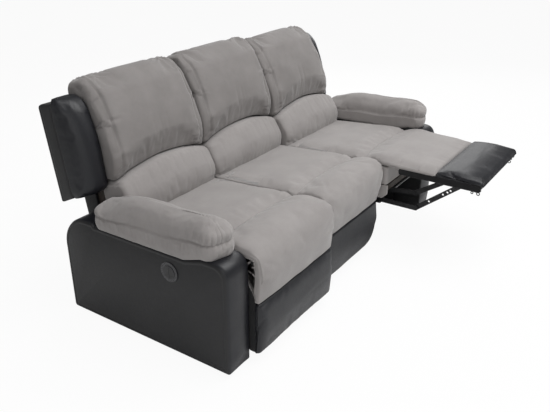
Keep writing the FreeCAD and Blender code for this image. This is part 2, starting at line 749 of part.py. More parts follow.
def actuator(seat):
    """The electric actuator: a motor and a tube on the base, and a rod to the lever."""
    is_open = OPEN[seat]
    tip = lever_tip(is_open)
    closed_reach = math.dist(ANCHOR, lever_tip(False))
    reach = math.dist(ANCHOR, tip)
    aim = heading(ANCHOR, tip)
    middle = PITCH + " / 2"
    place = module_move(seat).multiply(shift(0, ANCHOR[0], ANCHOR[1])).multiply(turn(0, 0, aim))

    def along_y(start, length, radius, x=middle, z="0"):
        item = doc.addObject("Part::Cylinder", "barrel")
        bind(item, Radius=radius, Height=length)
        item.Placement = FreeCAD.Placement(V(0, 0, 0), FreeCAD.Rotation(AXIS_X, -90))
        return seat_on(item, x, start, z)

    eye = rod(middle + " - eye_thick / 2", "0", "0", "eye_thick", "eye_rad")
    neck = box(middle + " - eye_thick / 2", "0", "-eye_rad * 0.8", "eye_thick", "30",
               "eye_rad * 1.6")
    barrel = along_y("26", "housing_long - 26", "housing_rad")
    motor = along_y("34", "motor_long", "motor_rad", middle + " + housing_rad + motor_rad * 0.6")
    collar = along_y("housing_long - 12", "12", "housing_rad + 2.5")
    solid = fuse([eye, neck, barrel, motor, collar])
    bore = along_y("bore_start", "housing_long - bore_start + 1", "shaft_rad + pin_play")
    eye_hole = rod(middle + " - eye_thick", "0", "0", "2 * eye_thick", "pin_rad + pin_play")
    node(seat + "_actuator", cut(solid, fuse([bore, eye_hole])), place)

    start = repr(reach - closed_reach) + " + bore_start + 26"
    neck_long = "eye_rad + 18"
    shaft = along_y(start, "%r - (%s) - (%s)" % (reach, start, neck_long), "shaft_rad")
    neck = box(middle + " - eye_thick / 2", "%r - (%s) - 4" % (reach, neck_long), "-shaft_rad * 0.8",
               "eye_thick", neck_long, "shaft_rad * 1.6")
    ring = rod(middle + " - eye_thick / 2", repr(reach), "0", "eye_thick", "eye_rad")
    shaft = cut(fuse([shaft, neck, ring]), rod(middle + " - eye_thick", repr(reach), "0",
                                               "2 * eye_thick", "pin_rad - 0.5 + eye_play"))
    node(seat + "_actuator_rod", shaft, place)


def footrest_move(seat):
    fold = shift(0, FOLD[0], FOLD[1]).multiply(turn(0, 0, 0 if OPEN[seat] else 90))
    return module_move(seat).multiply(carriage_move(OPEN[seat])).multiply(fold)


def footrest(seat):
    """The folding footrest: two pads on a board, with a steel bracket at each side."""
    place = footrest_move(seat)
    up, down = num("pad_up"), num("pad_down")
    first, last = num("side_gap + 0.5"), num(LAST) - 0.5
    near, middle, far = num("fold_gap"), num("leg_long"), num("foot_long")
    seam = num("pad_joint")
    stations = [(0, 0.86, 0), (0.03, 0.95, 0.3), (0.14, 1, 0.8), (0.5, 1, 1), (0.86, 1, 0.8),
                (0.97, 0.95, 0.3), (1, 0.86, 0)]

    def pad(start, end, end_round, start_round, top):
        points = [(-start, -down, 0), (-start, top - 3, (0, 1)), (-(start + end) / 2, top, (0, 4)),
                  (-end, top - 4, (0, 1)), (-end, -down, 0)]
        radii = [2, start_round, 100, end_round, 4]
        return flat_loft(points, radii, first, last, stations, -down)
    node(seat + "_leg_pad", feature(pad(near, middle, 10, 14, up)), place)
    node(seat + "_foot_pad", feature(pad(middle + seam, far, 16, 10, up - 1)), place)
    board = box("side_gap + ply_inset", "ply_inset - foot_long", "-pad_down - skin_gap - ply_thick",
                PITCH + " - 2 * (side_gap + ply_inset)", "foot_long - 2 * ply_inset - 2",
                "ply_thick")
    node(seat + "_footrest_board", board, place)
    top = "-pad_down - skin_gap - ply_thick"
    eye = "%s - bracket_eye" % top
    low = "%s - bracket_drop" % top
    corners = [("-bracket_start", top), ("-bracket_start", top + " - 12"),
               ("-bracket_start - 50", low), ("-bracket_end + 30", low),
               ("-bracket_end", top + " - 18"), ("-bracket_end", top)]
    holes = [("-long_reach", eye, "pin_rad"), ("-upper_reach", eye, "pin_rad"),
             ("-long_reach - 40", eye, "3.5"), ("-long_reach - 54", eye, "4.5")]
    web = plate(seat + "_bracket", layer("bracket"), "plate_thick", corners, holes,
                [(2, "12"), (3, "10")])
    flange = box(layer("bracket"), "-bracket_end", top + " - flange_thick",
                 "bracket_flange", "bracket_end - bracket_start", "flange_thick")
    reach = "link_gap - skin_gap"
    rivets = [rod(layer("bracket") + " + plate_thick", "-upper_reach", eye, reach, "head_rad"),
              rod(layer("bracket") + " - link_gap + skin_gap", "-long_reach", eye, reach,
                  "head_rad")]
    node(seat + "_footrest_brackets", both_sides(fuse([web, flange] + rivets)), place)


def flat_loft(points, radii, first, last, stations, floor):
    """A flat pad: its underside stays on its board, and its rim is drawn in."""
    middle = sum(p[0] for p in points) / len(points)
    wires = []
    for share, scale, crown in stations:
        x = first + share * (last - first)
        outline = []
        for y, z, up in points:
            rise = up[1] * crown if up else 0
            tall = floor + (z - floor) * scale + rise
            outline.append((middle + (y - middle) * (0.9 + 0.1 * scale), tall))
        wires.append(rounded_wire(outline, [r * scale for r in radii],
                                  lambda p, x=x: V(x, p.x, p.y)))
    return Part.makeLoft(wires, True, True)


# Backs, drawn upright: v is y and u is z, from the recline pivot

def back_move(seat):
    lean = -num("back_lean") - (num("rest_recline") if OPEN[seat] else 0)
    hinge = shift(0, BACK_PIVOT[0], BACK_PIVOT[1]).multiply(turn(0, 0, lean))
    return module_move(seat).multiply(carriage_move(OPEN[seat])).multiply(hinge)


def back_frame(seat):
    """The ladder frame of a back, with the hinge ears of a reclining one."""
    deep = "frame_rear - frame_front"
    inside = "side_gap + 8"
    if seat == "middle":
        inside = "side_gap + board_thick + skin_gap"
    across = PITCH + " - 2 * (%s)" % inside
    upright = box(inside, "frame_front", "0", "upright_wide", deep, "frame_top")
    parts = [upright, mirror(upright)]
    for low in ("0", "seam_up - 30", "frame_top - 45"):
        parts.append(box(inside, "frame_front", low, across, deep, "45"))
    if seat == "middle":
        post = box(inside, "frame_front", "-120", "upright_wide", deep, "120")
        parts += [post, mirror(post)]
    else:
        corners = [("-14", "14"), ("-14", "-14"), ("14", "-14"), ("frame_rear", "-14"),
                   ("frame_rear", "lumbar_low - 4"), ("frame_front", "lumbar_low - 4"),
                   ("frame_front - 12", "14")]
        ear = plate(seat + "_back_ear", layer("front"), "plate_thick", corners,
                    [("0", "0", "pin_rad + pin_play")], [(0, "13"), (1, "13")])
        parts += [ear, mirror(ear)]
    node(seat + "_back_frame", fuse(parts), back_move(seat))


def back_panel(seat):
    """The upholstered rear shell, which runs on behind the wing of an end seat."""
    top = "panel_top"
    corners = [(PANEL_FRONT, "panel_low"), ("panel_rear", "panel_low"), ("panel_rear", top),
               (PANEL_FRONT, top)]
    rounds = [(2, "22"), (1, "12")]
    shell = plate(seat + "_rear_shell", "side_gap", PITCH + " - 2 * side_gap", corners, (), rounds)
    if seat == "middle":
        node(seat + "_back_panel", shell, back_move(seat))
        return
    outer = [(PANEL_FRONT, "wing_low"), ("panel_rear", "wing_rear_low"), ("panel_rear", top),
             (PANEL_FRONT, top)]
    x = "side_gap - wing_wide" if seat == "left" else LAST
    tail = plate(seat + "_rear_tail", x, "wing_wide", outer, (), rounds[:1])
    node(seat + "_back_panel", fuse([shell, tail]), back_move(seat))


def pillow_stations(crown):
    side = num("pillow_side") / num(PITCH)
    return [(0, 0.9, 0), (side * 0.6, 0.97, 0.35 * crown), (side * 3, 1, 0.8 * crown),
            (0.5, 1, crown), (1 - side * 3, 1, 0.8 * crown), (1 - side * 0.6, 0.97, 0.35 * crown),
            (1, 0.9, 0)]


def pillows(seat):
    """The head pillow, which rolls over the frame, and the lumbar pillow below it."""
    place = back_move(seat)
    first, last = num("side_gap + 0.5"), num(LAST) - 0.5
    rear, seam, top = num(PILLOW_REAR), num("seam_up"), num("back_top")
    ledge = num("panel_top + skin_gap") + 2
    swell = num("pillow_crown")
    low = num("lumbar_low")
    out = (-1, 0)
    head = [(rear, seam + 4, 0), (14, seam + 4, (-0.4, 0)), (4, seam + 90, out),
            (26, seam + 215, out), (62, top - 55, (-0.7, 0.3)), (112, top - 2, (0, 0.4)),
            (178, top - 6, (0, 0.3)), (196, ledge, 0), (rear, ledge, 0)]
    head_radii = [6, 18, 90, 120, 60, 30, 16, 8, 2]
    node(seat + "_head_pillow",
         feature(held_loft(head, head_radii, first, last, pillow_stations(swell))), place)
    lumbar = [(rear, seam - 3, 0), (rear, low, 0), (-16, low, 0), (-30, low + 70, out),
              (-2, seam - 3, (-0.4, 0))]
    lumbar_radii = [6, 6, 20, 60, 16]
    node(seat + "_lumbar_pillow",
         feature(held_loft(lumbar, lumbar_radii, first, last, pillow_stations(swell))), place)


def held_loft(points, radii, first, last, stations):
    """A pillow that lies on the frame behind it, so only its front and ends are drawn in."""
    rear = max(p[0] for p in points if not p[2])
    middle = sum(p[1] for p in points) / len(points)
    wires = []
    for share, scale, crown in stations:
        x = first + share * (last - first)
        outline = []
        for y, z, out in points:
            push = (out[0] * crown, out[1] * crown) if out else (0, 0)
            tight = rear + (y - rear) * scale if out else y
            high = middle + (z - middle) * (0.8 + 0.2 * scale) if out else z
            outline.append((tight + push[0], high + push[1]))
        wires.append(rounded_wire(outline, radii, lambda p, x=x: V(x, p.x, p.y)))
    return Part.makeLoft(wires, True, True)


def wing(seat):
    """The padded wing over an arm, beside the pillows: a quarter round in plan."""
    wide = num("wing_wide") - 0.5
    rear = num(PANEL_FRONT) - num("skin_gap")
    low, top = num("wing_low"), num("panel_top")
    # each row: height, how far its front stands forward of the shell, inset at the sides
    rows = [(low + 2, 34, 12), (low + 26, 72, 3), (low + 150, 98, 0), (low + 290, 96, 0),
            (top - 20, 72, 2), (top + 16, 42, 8)]
    wires = []
    for height, stand, inset in rows:
        outline = [(inset, rear), (inset, rear - stand), (wide * 0.45, rear - stand),
                   (wide - inset, rear - stand * 0.45), (wide - inset, rear)]
        radii = [3, 12, 30, 22, 3]
        size = min(1, stand / 80)

        def to_space(p, height=height):
            x = num("side_gap") - 0.3 - p.x if seat == "left" else num(LAST) + 0.3 + p.x
            return V(x, p.y, height)
        wires.append(rounded_wire(outline, [r * size for r in radii], to_space))
    node(seat + "_wing", feature(Part.makeLoft(wires, True, True)), back_move(seat))


# Middle seat

def middle_seat():
    """The fixed seat between the recliners, on the same cross rails."""
    low = "cross_high"
    front = MIDDLE_BOX
    corners = [(front, low), ("seat_rear + 162", low), ("seat_rear + 162", "rail_high"),
               (front, "rail_high")]
    board = plate("middle_side_board", "side_gap", "board_thick", corners)
    node("middle_seat_frame", fuse([board, mirror(board), middle_rails()]), SHIFT["middle"])
    panel = box("side_gap + 0.5", "middle_front", "panel_bottom", PITCH + " - 2 * side_gap - 1",
                "panel_thick", "panel_boundary - panel_bottom")
    rounded = doc.addObject("Part::Fillet", "front_panel")
    rounded.Base = panel
    doc.recompute()
    edges = [i for i, edge in enumerate(panel.Shape.Edges, 1)
             if edge.BoundBox.YMax < num("middle_front") + 0.01]
    rounded.Edges = [(i, 11, 11) for i in edges]
    node("middle_front_panel", rounded, module_move("middle"))
    middle_cushion()


def middle_rails():
    inside = "side_gap + board_thick"
    long_run = "%s - 2 * (%s)" % (PITCH, inside)
    front = MIDDLE_BOX
    parts = [box(inside, depth, low, long_run, "rail_deep", high)
             for depth, low, high in ((front, "cross_high", "rail_high - cross_high"),
                                      ("seat_rear + 90", "rail_low", "rail_high - rail_low"))]
    for i in range(5):
        x = "%s / 2 + %d * 90 - strap_wide / 2" % (PITCH, i - 2)
        parts.append(box(x, front, "rail_high", "strap_wide",
                         "seat_rear + 120 - (%s)" % front, "strap_thick"))
    return fuse(parts)


# The whole sofa

base_frame()
floor_glides()
for hand in ("left", "right"):
    arm(hand)
    arm_pad(hand)
    for action in ("open", "close"):
        button(hand, action)
    recliner_seat(hand)
    swing_links(hand, "rear")
    swing_links(hand, "front")
    footrest_links(hand)
    actuator(hand)
    footrest(hand)
    wing(hand)
switch_bezels()
middle_seat()
for place_name in SEATS:
    back_frame(place_name)
    back_panel(place_name)
    pillows(place_name)

doc.recompute()
bad = [item.Label for item in doc.Objects if "Invalid" in item.State or "Error" in item.State]
if bad:
    raise SystemExit("failed objects: " + ", ".join(bad))
for name, item in nodes.items():
    if item.Shape.isNull() or not item.Shape.isValid():
        raise SystemExit("bad shape: " + name)

os.makedirs("parts", exist_ok=True)
for name, item in nodes.items():
    item.Shape.exportStep("parts/%s.step" % name)
print(len(nodes), "nodes written")
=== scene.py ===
import bmesh
import bpy
import json
import math
import numpy as np
from mathutils import Matrix, Vector, noise

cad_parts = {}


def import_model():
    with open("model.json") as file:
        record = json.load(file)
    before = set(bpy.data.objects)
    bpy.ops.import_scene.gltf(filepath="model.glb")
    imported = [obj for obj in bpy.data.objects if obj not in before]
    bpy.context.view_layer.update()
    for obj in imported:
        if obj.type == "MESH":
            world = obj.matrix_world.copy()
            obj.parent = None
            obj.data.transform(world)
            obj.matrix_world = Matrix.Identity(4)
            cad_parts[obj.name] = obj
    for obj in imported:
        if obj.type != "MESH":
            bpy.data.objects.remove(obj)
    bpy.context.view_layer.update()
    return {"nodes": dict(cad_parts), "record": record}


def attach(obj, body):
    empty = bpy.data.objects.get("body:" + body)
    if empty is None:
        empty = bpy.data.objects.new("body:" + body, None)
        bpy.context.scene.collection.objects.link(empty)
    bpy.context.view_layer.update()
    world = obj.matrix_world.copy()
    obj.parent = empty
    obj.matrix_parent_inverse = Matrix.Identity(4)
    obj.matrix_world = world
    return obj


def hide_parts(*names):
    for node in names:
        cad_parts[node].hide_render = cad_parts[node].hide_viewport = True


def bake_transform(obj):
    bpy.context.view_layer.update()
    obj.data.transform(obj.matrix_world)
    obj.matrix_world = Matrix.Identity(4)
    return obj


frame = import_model()
nodes = frame["nodes"]

# Sizes in millimetres, as in the CAD: d is the depth behind the arm fronts, z the height
WIDTH, ARM, FRONT = 1900, 130, 215
PITCH = (WIDTH - 2 * ARM) / 3
X0 = {"left": -WIDTH / 2 + ARM, "middle": -WIDTH / 2 + ARM + PITCH,
      "right": WIDTH / 2 - ARM - PITCH}
SHIFT = {"left": 0.0, "middle": 0.0, "right": -40.0}    # how far back each carriage stands
LEAN = {"left": 9.0, "middle": 9.0, "right": 14.0}      # lean of each back in degrees
PIVOT = (600, 400)       # d and z of the recline pivot
FOLD = (-30.0, 462.0)    # d and z of a footrest's fold
GAP = 3.6                # room beside each cushion of a seat
CLEAR = 3                # room that the cushions keep once they are inflated
CROSS_SEAM = 168         # depth of the cross seam in the middle of a seat
SEAM_U = 214.0           # height over the pivot of the seam between the pillows
SHELL_GAP, SHELL_TOP, SHELL_LOW = 3.3, 536, -29.5
WING_WIDE = 116          # how far a rear shell reaches over the arm, behind the wing

CARRIER = {"left": "left_carriage", "middle": "sofa_base", "right": "right_carriage"}
BACK = {"left": "left_back", "middle": "sofa_base", "right": "right_back"}


def world(x, d, z):
    """Places in millimetres as points in metres."""
    shape = np.shape(d)
    return np.stack([np.broadcast_to(x, shape), np.asarray(d) - FRONT,
                     np.broadcast_to(z, shape)], -1) / 1000


def back_place(seat, x, v, u):
    """A point of a back: v to the rear and u up from the recline pivot."""
    a = math.radians(LEAN[seat])
    d = PIVOT[0] + SHIFT[seat] + v * math.cos(a) + u * math.sin(a)
    z = PIVOT[1] + u * math.cos(a) - v * math.sin(a)
    return world(x + X0[seat], d, z)


def seat_place(seat, x, d, z):
    """A point of a seat, where d is the depth with the footrest in."""
    return world(x + X0[seat], d + SHIFT[seat], z)


def rest_place(seat, x, s, t):
    """A point of a footrest: s out from the fold and t up from it, when it is open."""
    if seat == "right":
        return world(x + X0[seat], FOLD[0] + SHIFT[seat] - s, FOLD[1] + t)
    return world(x + X0[seat], FOLD[0] - t, FOLD[1] - s)


def smooth(a, b, x):
    """0 up to a, 1 from b on, with a soft rise between."""
    t = np.clip((np.asarray(x, float) - a) / (b - a), 0, 1)
    return t * t * (3 - 2 * t)


def wobble(points, scale, seed=0.0):
    """Soft noise from -1 to 1 at each row of points, in cycles per unit."""
    return np.array([noise.noise(Vector((p[0] * scale + seed, p[1] * scale + 7.3,
                                         p[2] * scale - 3.1))) for p in points])


def ripple(x, y, z, scale=1.0, seed=0.0):
    """The same noise at places given by their three parts, each an array or one number."""
    return wobble(np.stack(np.broadcast_arrays(x, y, z), -1), scale, seed)


def side_share(x):
    """0 in the middle of a seat and 1 at the sides of its cushions."""
    return np.abs(2 * (x - PITCH / 2) / (PITCH - 7))


def half_share(x):
    """From -1 at one side of a seat's room to 1 at the other."""
    return 2 * (x - PITCH / 2) / PITCH


# Closed outlines and lofts

def inset_points(points, by):
    """A polygon moved inwards by a distance, or outwards if it is negative."""
    p = np.array(points, float)
    area = np.sum(p[:, 0] * np.roll(p[:, 1], -1) - np.roll(p[:, 0], -1) * p[:, 1])
    sign = 1.0 if area > 0 else -1.0
    out = []
    for i in range(len(p)):
        a, b, c = p[i - 1], p[i], p[(i + 1) % len(p)]
        e1, e2 = (b - a) / np.linalg.norm(b - a), (c - b) / np.linalg.norm(c - b)
        n1, n2 = np.array([-e1[1], e1[0]]) * sign, np.array([-e2[1], e2[0]]) * sign
        n = n1 + n2
        out.append(b + n * by / max(0.25, 1 + n1 @ n2))
    return np.array(out)


def run_counts(points, radii, step):
    """How many points each straight run of an outline gets."""
    counts = []
    for i in range(len(points)):
        a, b = np.array(points[i], float), np.array(points[(i + 1) % len(points)], float)
        run = max(4, np.linalg.norm(b - a) - radii[i])
        counts.append(max(1, int(round(run / step))))
    return counts


def outline(points, radii, counts, arc=8):
    """Dense points round a polygon whose corners are arcs of the given radii."""
    p = np.array(points, float)
    n = len(p)
    corner = []
    for i in range(n):
        a, c = p[i - 1] - p[i], p[(i + 1) % n] - p[i]
        la, lc = np.linalg.norm(a), np.linalg.norm(c)
        a, c = a / la, c / lc
        half = math.acos(max(-0.9999, min(0.9999, float(a @ c)))) / 2
        r = max(0.4, radii[i])
        trim = min(r / math.tan(half), 0.49 * la, 0.49 * lc)
        r = trim * math.tan(half)
        mid = a + c
        mid = mid / max(1e-9, np.linalg.norm(mid))
        centre = p[i] + mid * r / math.sin(half)
        s, e = p[i] + a * trim - centre, p[i] + c * trim - centre
        a0, a1 = math.atan2(s[1], s[0]), math.atan2(e[1], e[0])
        turn = (a1 - a0 + math.pi) % (2 * math.pi) - math.pi
        angles = [a0 + turn * k / arc for k in range(arc + 1)]
        corner.append([centre + r * np.array([math.cos(b), math.sin(b)]) for b in angles])
    out = []
    for i in range(n):
        out += corner[i]
        end, start = corner[i][-1], corner[(i + 1) % n][0]
        out += [end + (start - end) * k / counts[i] for k in range(1, counts[i])]
    return np.array(out)


def inset_outline(points, radii, counts, inset, arc=8, least=1.0):
    """An outline moved inwards, with its corners tightened to match."""
    tight = [max(least, r - inset) for r in radii]
    return outline(inset_points(points, inset), tight, counts, arc)


def edge_stations(first, last, radius, steps, count):
    """x places and insets across a piece whose two ends are rounded."""
    turns = [math.pi / 2 * k / steps for k in range(steps + 1)]
    run = last - first - 2 * radius
    xs = [first + radius * (1 - math.cos(a)) for a in turns]
    xs += [first + radius + run * k / count for k in range(1, count)]
    xs += [last - radius * (1 - math.cos(a)) for a in reversed(turns)]
    ends = [radius * (1 - math.sin(a)) for a in turns]
    return np.array(xs), np.array(ends + [0.0] * (count - 1) + ends[::-1])


def new_object(name, verts, faces):
    mesh = bpy.data.meshes.new(name)
    mesh.from_pydata([tuple(map(float, v)) for v in verts], [], faces)
    mesh.update()
    obj = bpy.data.objects.new(name, mesh)
    bpy.context.scene.collection.objects.link(obj)
    return obj


def fix_normals(obj):
    bm = bmesh.new()
    bm.from_mesh(obj.data)
    bmesh.ops.remove_doubles(bm, verts=bm.verts, dist=1e-6)
    bmesh.ops.recalc_face_normals(bm, faces=bm.faces)
    if bm.calc_volume(signed=True) < 0:
        bmesh.ops.reverse_faces(bm, faces=bm.faces)
    for f in bm.faces:
        f.smooth = True
    bm.to_mesh(obj.data)
    bm.free()
    obj.data.update()


def build(name, rings, cap_rings=0, bulge=0.0):
    """A closed mesh through rings of points in metres.

    Each end is one flat face, or else cap_rings that shrink to a point, set out by bulge.
    """
    rings = [np.asarray(r) for r in rings]
    n, m = len(rings[0]), len(rings)
    verts = list(np.concatenate(rings))
    faces = []
    for i in range(m - 1):
        for j in range(n):
            k = (j + 1) % n
            faces.append((i * n + j, i * n + k, (i + 1) * n + k, (i + 1) * n + j))
    for end, ring, other in ((0, rings[0], rings[1]), (m - 1, rings[-1], rings[-2])):
        last = [end * n + j for j in range(n)]
        if not cap_rings:
            faces.append(tuple(last if end else reversed(last)))
            continue
        centre = ring.mean(0)
        way = ring.mean(0) - other.mean(0)
        way = way / max(1e-9, np.linalg.norm(way))
        for k in range(1, cap_rings):
            f = 1 - k / cap_rings
            start = len(verts)
            verts += list(centre + (ring - centre) * f + way * bulge * (1 - f * f))
            loop = [start + j for j in range(n)]
            for j in range(n):
                q = (last[j], last[(j + 1) % n], loop[(j + 1) % n], loop[j])
                faces.append(tuple(reversed(q)) if end == 0 else q)
            last = loop
        tip = len(verts)
        verts.append(centre + way * bulge)
        for j in range(n):
            q = (last[j], last[(j + 1) % n], tip)
            faces.append(tuple(reversed(q)) if end == 0 else q)
    obj = new_object(name, verts, faces)
    fix_normals(obj)
    return obj


# Vertex places and normals

def vertex_data(obj, key):
    data = np.zeros(len(obj.data.vertices) * 3)
    obj.data.vertices.foreach_get(key, data)
    return data.reshape(-1, 3)


def coords(obj):
    return vertex_data(obj, "co")


def normals(obj):
    return vertex_data(obj, "normal")


def set_coords(obj, co):
    obj.data.vertices.foreach_set("co", np.asarray(co).ravel())
    obj.data.update()


def seat_frame_of(seat, obj):
    """Each vertex in a seat's own frame: x, d and z."""
    co = coords(obj) * 1000
    return co[:, 0] - X0[seat], co[:, 1] + FRONT - SHIFT[seat], co[:, 2]


def rest_frame_of(seat, obj):
    """Each vertex in a footrest's own frame: x, s and t."""
    co = coords(obj) * 1000
    x, d, z = co[:, 0] - X0[seat], co[:, 1] + FRONT, co[:, 2]
    if seat == "right":
        return x, FOLD[0] + SHIFT[seat] - d, z - FOLD[1]
    return x, FOLD[1] - z, FOLD[0] - d


def back_frame_of(seat, obj):
    """Each vertex in a back's own frame: x, v to the rear and u up."""
    co = coords(obj) * 1000
    a = math.radians(LEAN[seat])
    dd, zz = co[:, 1] + FRONT - PIVOT[0] - SHIFT[seat], co[:, 2] - PIVOT[1]
    return (co[:, 0] - X0[seat], dd * math.cos(a) - zz * math.sin(a),
            dd * math.sin(a) + zz * math.cos(a))


def push(obj, amount):
    """Moves each vertex along its normal by an amount in millimetres."""
    set_coords(obj, coords(obj) + normals(obj) * (np.asarray(amount)[:, None] / 1000))


def keep_between(obj, low, high):
    """Flattens a soft side where it would press into its neighbour, x in millimetres."""
    co = coords(obj)
    co[:, 0] = np.clip(co[:, 0], low / 1000, high / 1000)
    set_coords(obj, co)


def keep_in_seat(obj, seat):
    keep_between(obj, X0[seat] + CLEAR, X0[seat] + PITCH - CLEAR)


# Cloth

CLOTH_FRAMES = 13
STIFFNESS = 18.0


def cloth_request(obj, pinned, cap, pressure, grow):
    """What run_cloth needs: the held vertices, the largest move in mm, pressure and growth."""
    return {"obj": obj, "pinned": pinned, "cap": cap, "pressure": pressure, "grow": grow}


def run_cloth(requests):
    """Inflates the soft pieces together, held at their seams, each move kept under its cap."""
    scene = bpy.context.scene
    for r in requests:
        obj = r["obj"]
        group = obj.vertex_groups.new(name="pin")
        group.add([int(i) for i in np.nonzero(r["pinned"])[0]], 1.0, "REPLACE")
        mod = obj.modifiers.new("cloth", "CLOTH")
        mod.point_cache.frame_start, mod.point_cache.frame_end = 1, CLOTH_FRAMES
        c = mod.settings
        c.vertex_group_mass = "pin"
        c.use_pressure, c.uniform_pressure_force = True, r["pressure"]
        c.effector_weights.gravity = 0
        c.shrink_min = -r["grow"]
        c.quality, c.mass, c.air_damping = 4, 0.3, 2.0
        c.tension_stiffness = c.compression_stiffness = STIFFNESS
        c.shear_stiffness, c.bending_stiffness = 5.0, 0.25
    for frame_number in range(1, CLOTH_FRAMES + 1):
        scene.frame_set(frame_number)
    view = bpy.context.evaluated_depsgraph_get()
    for r in requests:
        old = coords(r["obj"])
        shape = r["obj"].evaluated_get(view).data
        new = np.zeros(len(shape.vertices) * 3)
        shape.vertices.foreach_get("co", new)
        move = new.reshape(-1, 3) - old
        long = np.linalg.norm(move, axis=1)
        cap = r["cap"] / 1000
        kept = cap * np.tanh(long / cap)
        r["result"] = old + move * (kept / np.maximum(long, 1e-9))[:, None]
    for r in requests:
        r["obj"].modifiers.clear()
        r["obj"].vertex_groups.clear()
        set_coords(r["obj"], r["result"])
    scene.frame_set(1)


# Materials

def tree_of(name):
    mat = bpy.data.materials.new(name)
    mat.use_nodes = True
    nt = mat.node_tree
    return mat, nt, nt.nodes["Principled BSDF"]


def put(node, **values):
    """Sets a node's inputs by name, with _ for a space."""
    for key, value in values.items():
        node.inputs[key.replace("_", " ")].default_value = value
    return node


def add(nt, kind, **values):
    return put(nt.nodes.new(kind), **values)


def object_place(nt):
    return nt.nodes.new("ShaderNodeTexCoord").outputs["Object"]


def ramp(nt, fac, stops):
    node = nt.nodes.new("ShaderNodeValToRGB")
    nt.links.new(fac, node.inputs[0])
    for element, (place, colour) in zip(node.color_ramp.elements, stops):
        element.position = place
        element.color = (*colour, 1)
    return node.outputs[0]


def level(nt, fac, low, high):
    node = add(nt, "ShaderNodeMapRange", To_Min=low, To_Max=high)
    nt.links.new(fac, node.inputs["Value"])
    return node.outputs["Result"]


def noise_of(nt, vector, scale, detail=3.0, rough=0.5):
    node = add(nt, "ShaderNodeTexNoise", Scale=scale, Detail=detail, Roughness=rough)
    nt.links.new(vector, node.inputs["Vector"])
    return node.outputs["Fac"]


def cells_of(nt, vector, scale):
    node = add(nt, "ShaderNodeTexVoronoi", Scale=scale)
    nt.links.new(vector, node.inputs["Vector"])
    return node.outputs["Distance"]


def bump_of(nt, height, strength, distance, under=None):
    node = add(nt, "ShaderNodeBump", Strength=strength, Distance=distance)
    nt.links.new(height, node.inputs["Height"])
    if under is not None:
        nt.links.new(under, node.inputs["Normal"])
    return node.outputs["Normal"]


def mix_colour(nt, fac, under, over):
    """A linked colour, covered by a fixed one as far as fac says."""
    node = nt.nodes.new("ShaderNodeMix")
    node.data_type = "RGBA"
    nt.links.new(fac, node.inputs[0])
    nt.links.new(under, node.inputs[6])
    node.inputs[7].default_value = (*over, 1)
    return node.outputs[2]


def scaled(colour, by):
    return tuple(c * by for c in colour)


def microfibre(name, base, dark):
    """Brushed cloth: a short nap that catches the light unevenly over a fine weave."""
    mat, nt, bsdf = tree_of(name)
    place = object_place(nt)
    nap = noise_of(nt, place, 9, 4, 0.6)
    patch = noise_of(nt, place, 38, 3, 0.6)
    fleck = noise_of(nt, place, 900, 2, 0.6)
    colour = ramp(nt, nap, [(0.3, dark), (0.72, base)])
    colour = mix_colour(nt, level(nt, patch, 0.0, 0.35), colour, scaled(base, 1.09))
    colour = mix_colour(nt, level(nt, fleck, 0.0, 0.3), colour, scaled(dark, 0.72))
    nt.links.new(colour, bsdf.inputs["Base Color"])
    nt.links.new(level(nt, patch, 0.78, 0.95), bsdf.inputs["Roughness"])
    put(bsdf, Sheen_Weight=0.35, Sheen_Roughness=0.45, Specular_IOR_Level=0.2)
    weave = bump_of(nt, cells_of(nt, place, 1300.0), 0.25, 0.0004)
    soft = bump_of(nt, noise_of(nt, place, 55, 4, 0.65), 0.3, 0.0016, weave)
    nt.links.new(soft, bsdf.inputs["Normal"])
    return mat


def hide(name, base, worn, rough=0.43):
    """Black coated leather: pebbled grain, soft creases, paler where it is rubbed."""
    mat, nt, bsdf = tree_of(name)
    place = object_place(nt)
    cells = cells_of(nt, place, 420.0)
    broad = noise_of(nt, place, 6, 4, 0.6)
    fine = noise_of(nt, place, 130, 4, 0.6)
    colour = ramp(nt, broad, [(0.3, base), (0.8, worn)])
    colour = mix_colour(nt, level(nt, cells, 0.0, 0.5), colour, scaled(base, 0.6))
    nt.links.new(colour, bsdf.inputs["Base Color"])
    nt.links.new(level(nt, fine, rough - 0.07, rough + 0.12), bsdf.inputs["Roughness"])
    put(bsdf, Specular_IOR_Level=0.5, Coat_Weight=0.1, Coat_Roughness=0.35)
    grain = bump_of(nt, cells, 0.28, 0.0005)
    creased = bump_of(nt, noise_of(nt, place, 22, 4, 0.6), 0.22, 0.003, grain)
    nt.links.new(creased, bsdf.inputs["Normal"])
    return mat


def steel(name, base, rough, metallic=0.0):
    """Painted or bare steel, or plastic, with faint wear."""
    mat, nt, bsdf = tree_of(name)
    place = object_place(nt)
    wear = noise_of(nt, place, 24, 6, 0.7)
    fine = noise_of(nt, place, 320, 3, 0.6)
    worn = tuple(min(1, c * 1.9 + 0.012) for c in base)
    nt.links.new(ramp(nt, wear, [(0.35, base), (0.85, worn)]), bsdf.inputs["Base Color"])
    nt.links.new(level(nt, fine, rough - 0.08, rough + 0.14), bsdf.inputs["Roughness"])
    put(bsdf, Metallic=metallic)
    nt.links.new(bump_of(nt, fine, 0.3, 0.0003), bsdf.inputs["Normal"])
    return mat


def timber(name, dark, pale):
    """Dark boards with their grain along x."""
    mat, nt, bsdf = tree_of(name)
    stretch = add(nt, "ShaderNodeMapping", Scale=(4, 60, 60))
    nt.links.new(object_place(nt), stretch.inputs["Vector"])
    grain = noise_of(nt, stretch.outputs["Vector"], 1.6, 6, 0.65)
    nt.links.new(ramp(nt, grain, [(0.3, dark), (0.75, pale)]), bsdf.inputs["Base Color"])
    put(bsdf, Roughness=0.7)
    nt.links.new(bump_of(nt, grain, 0.25, 0.0006), bsdf.inputs["Normal"])
    return mat


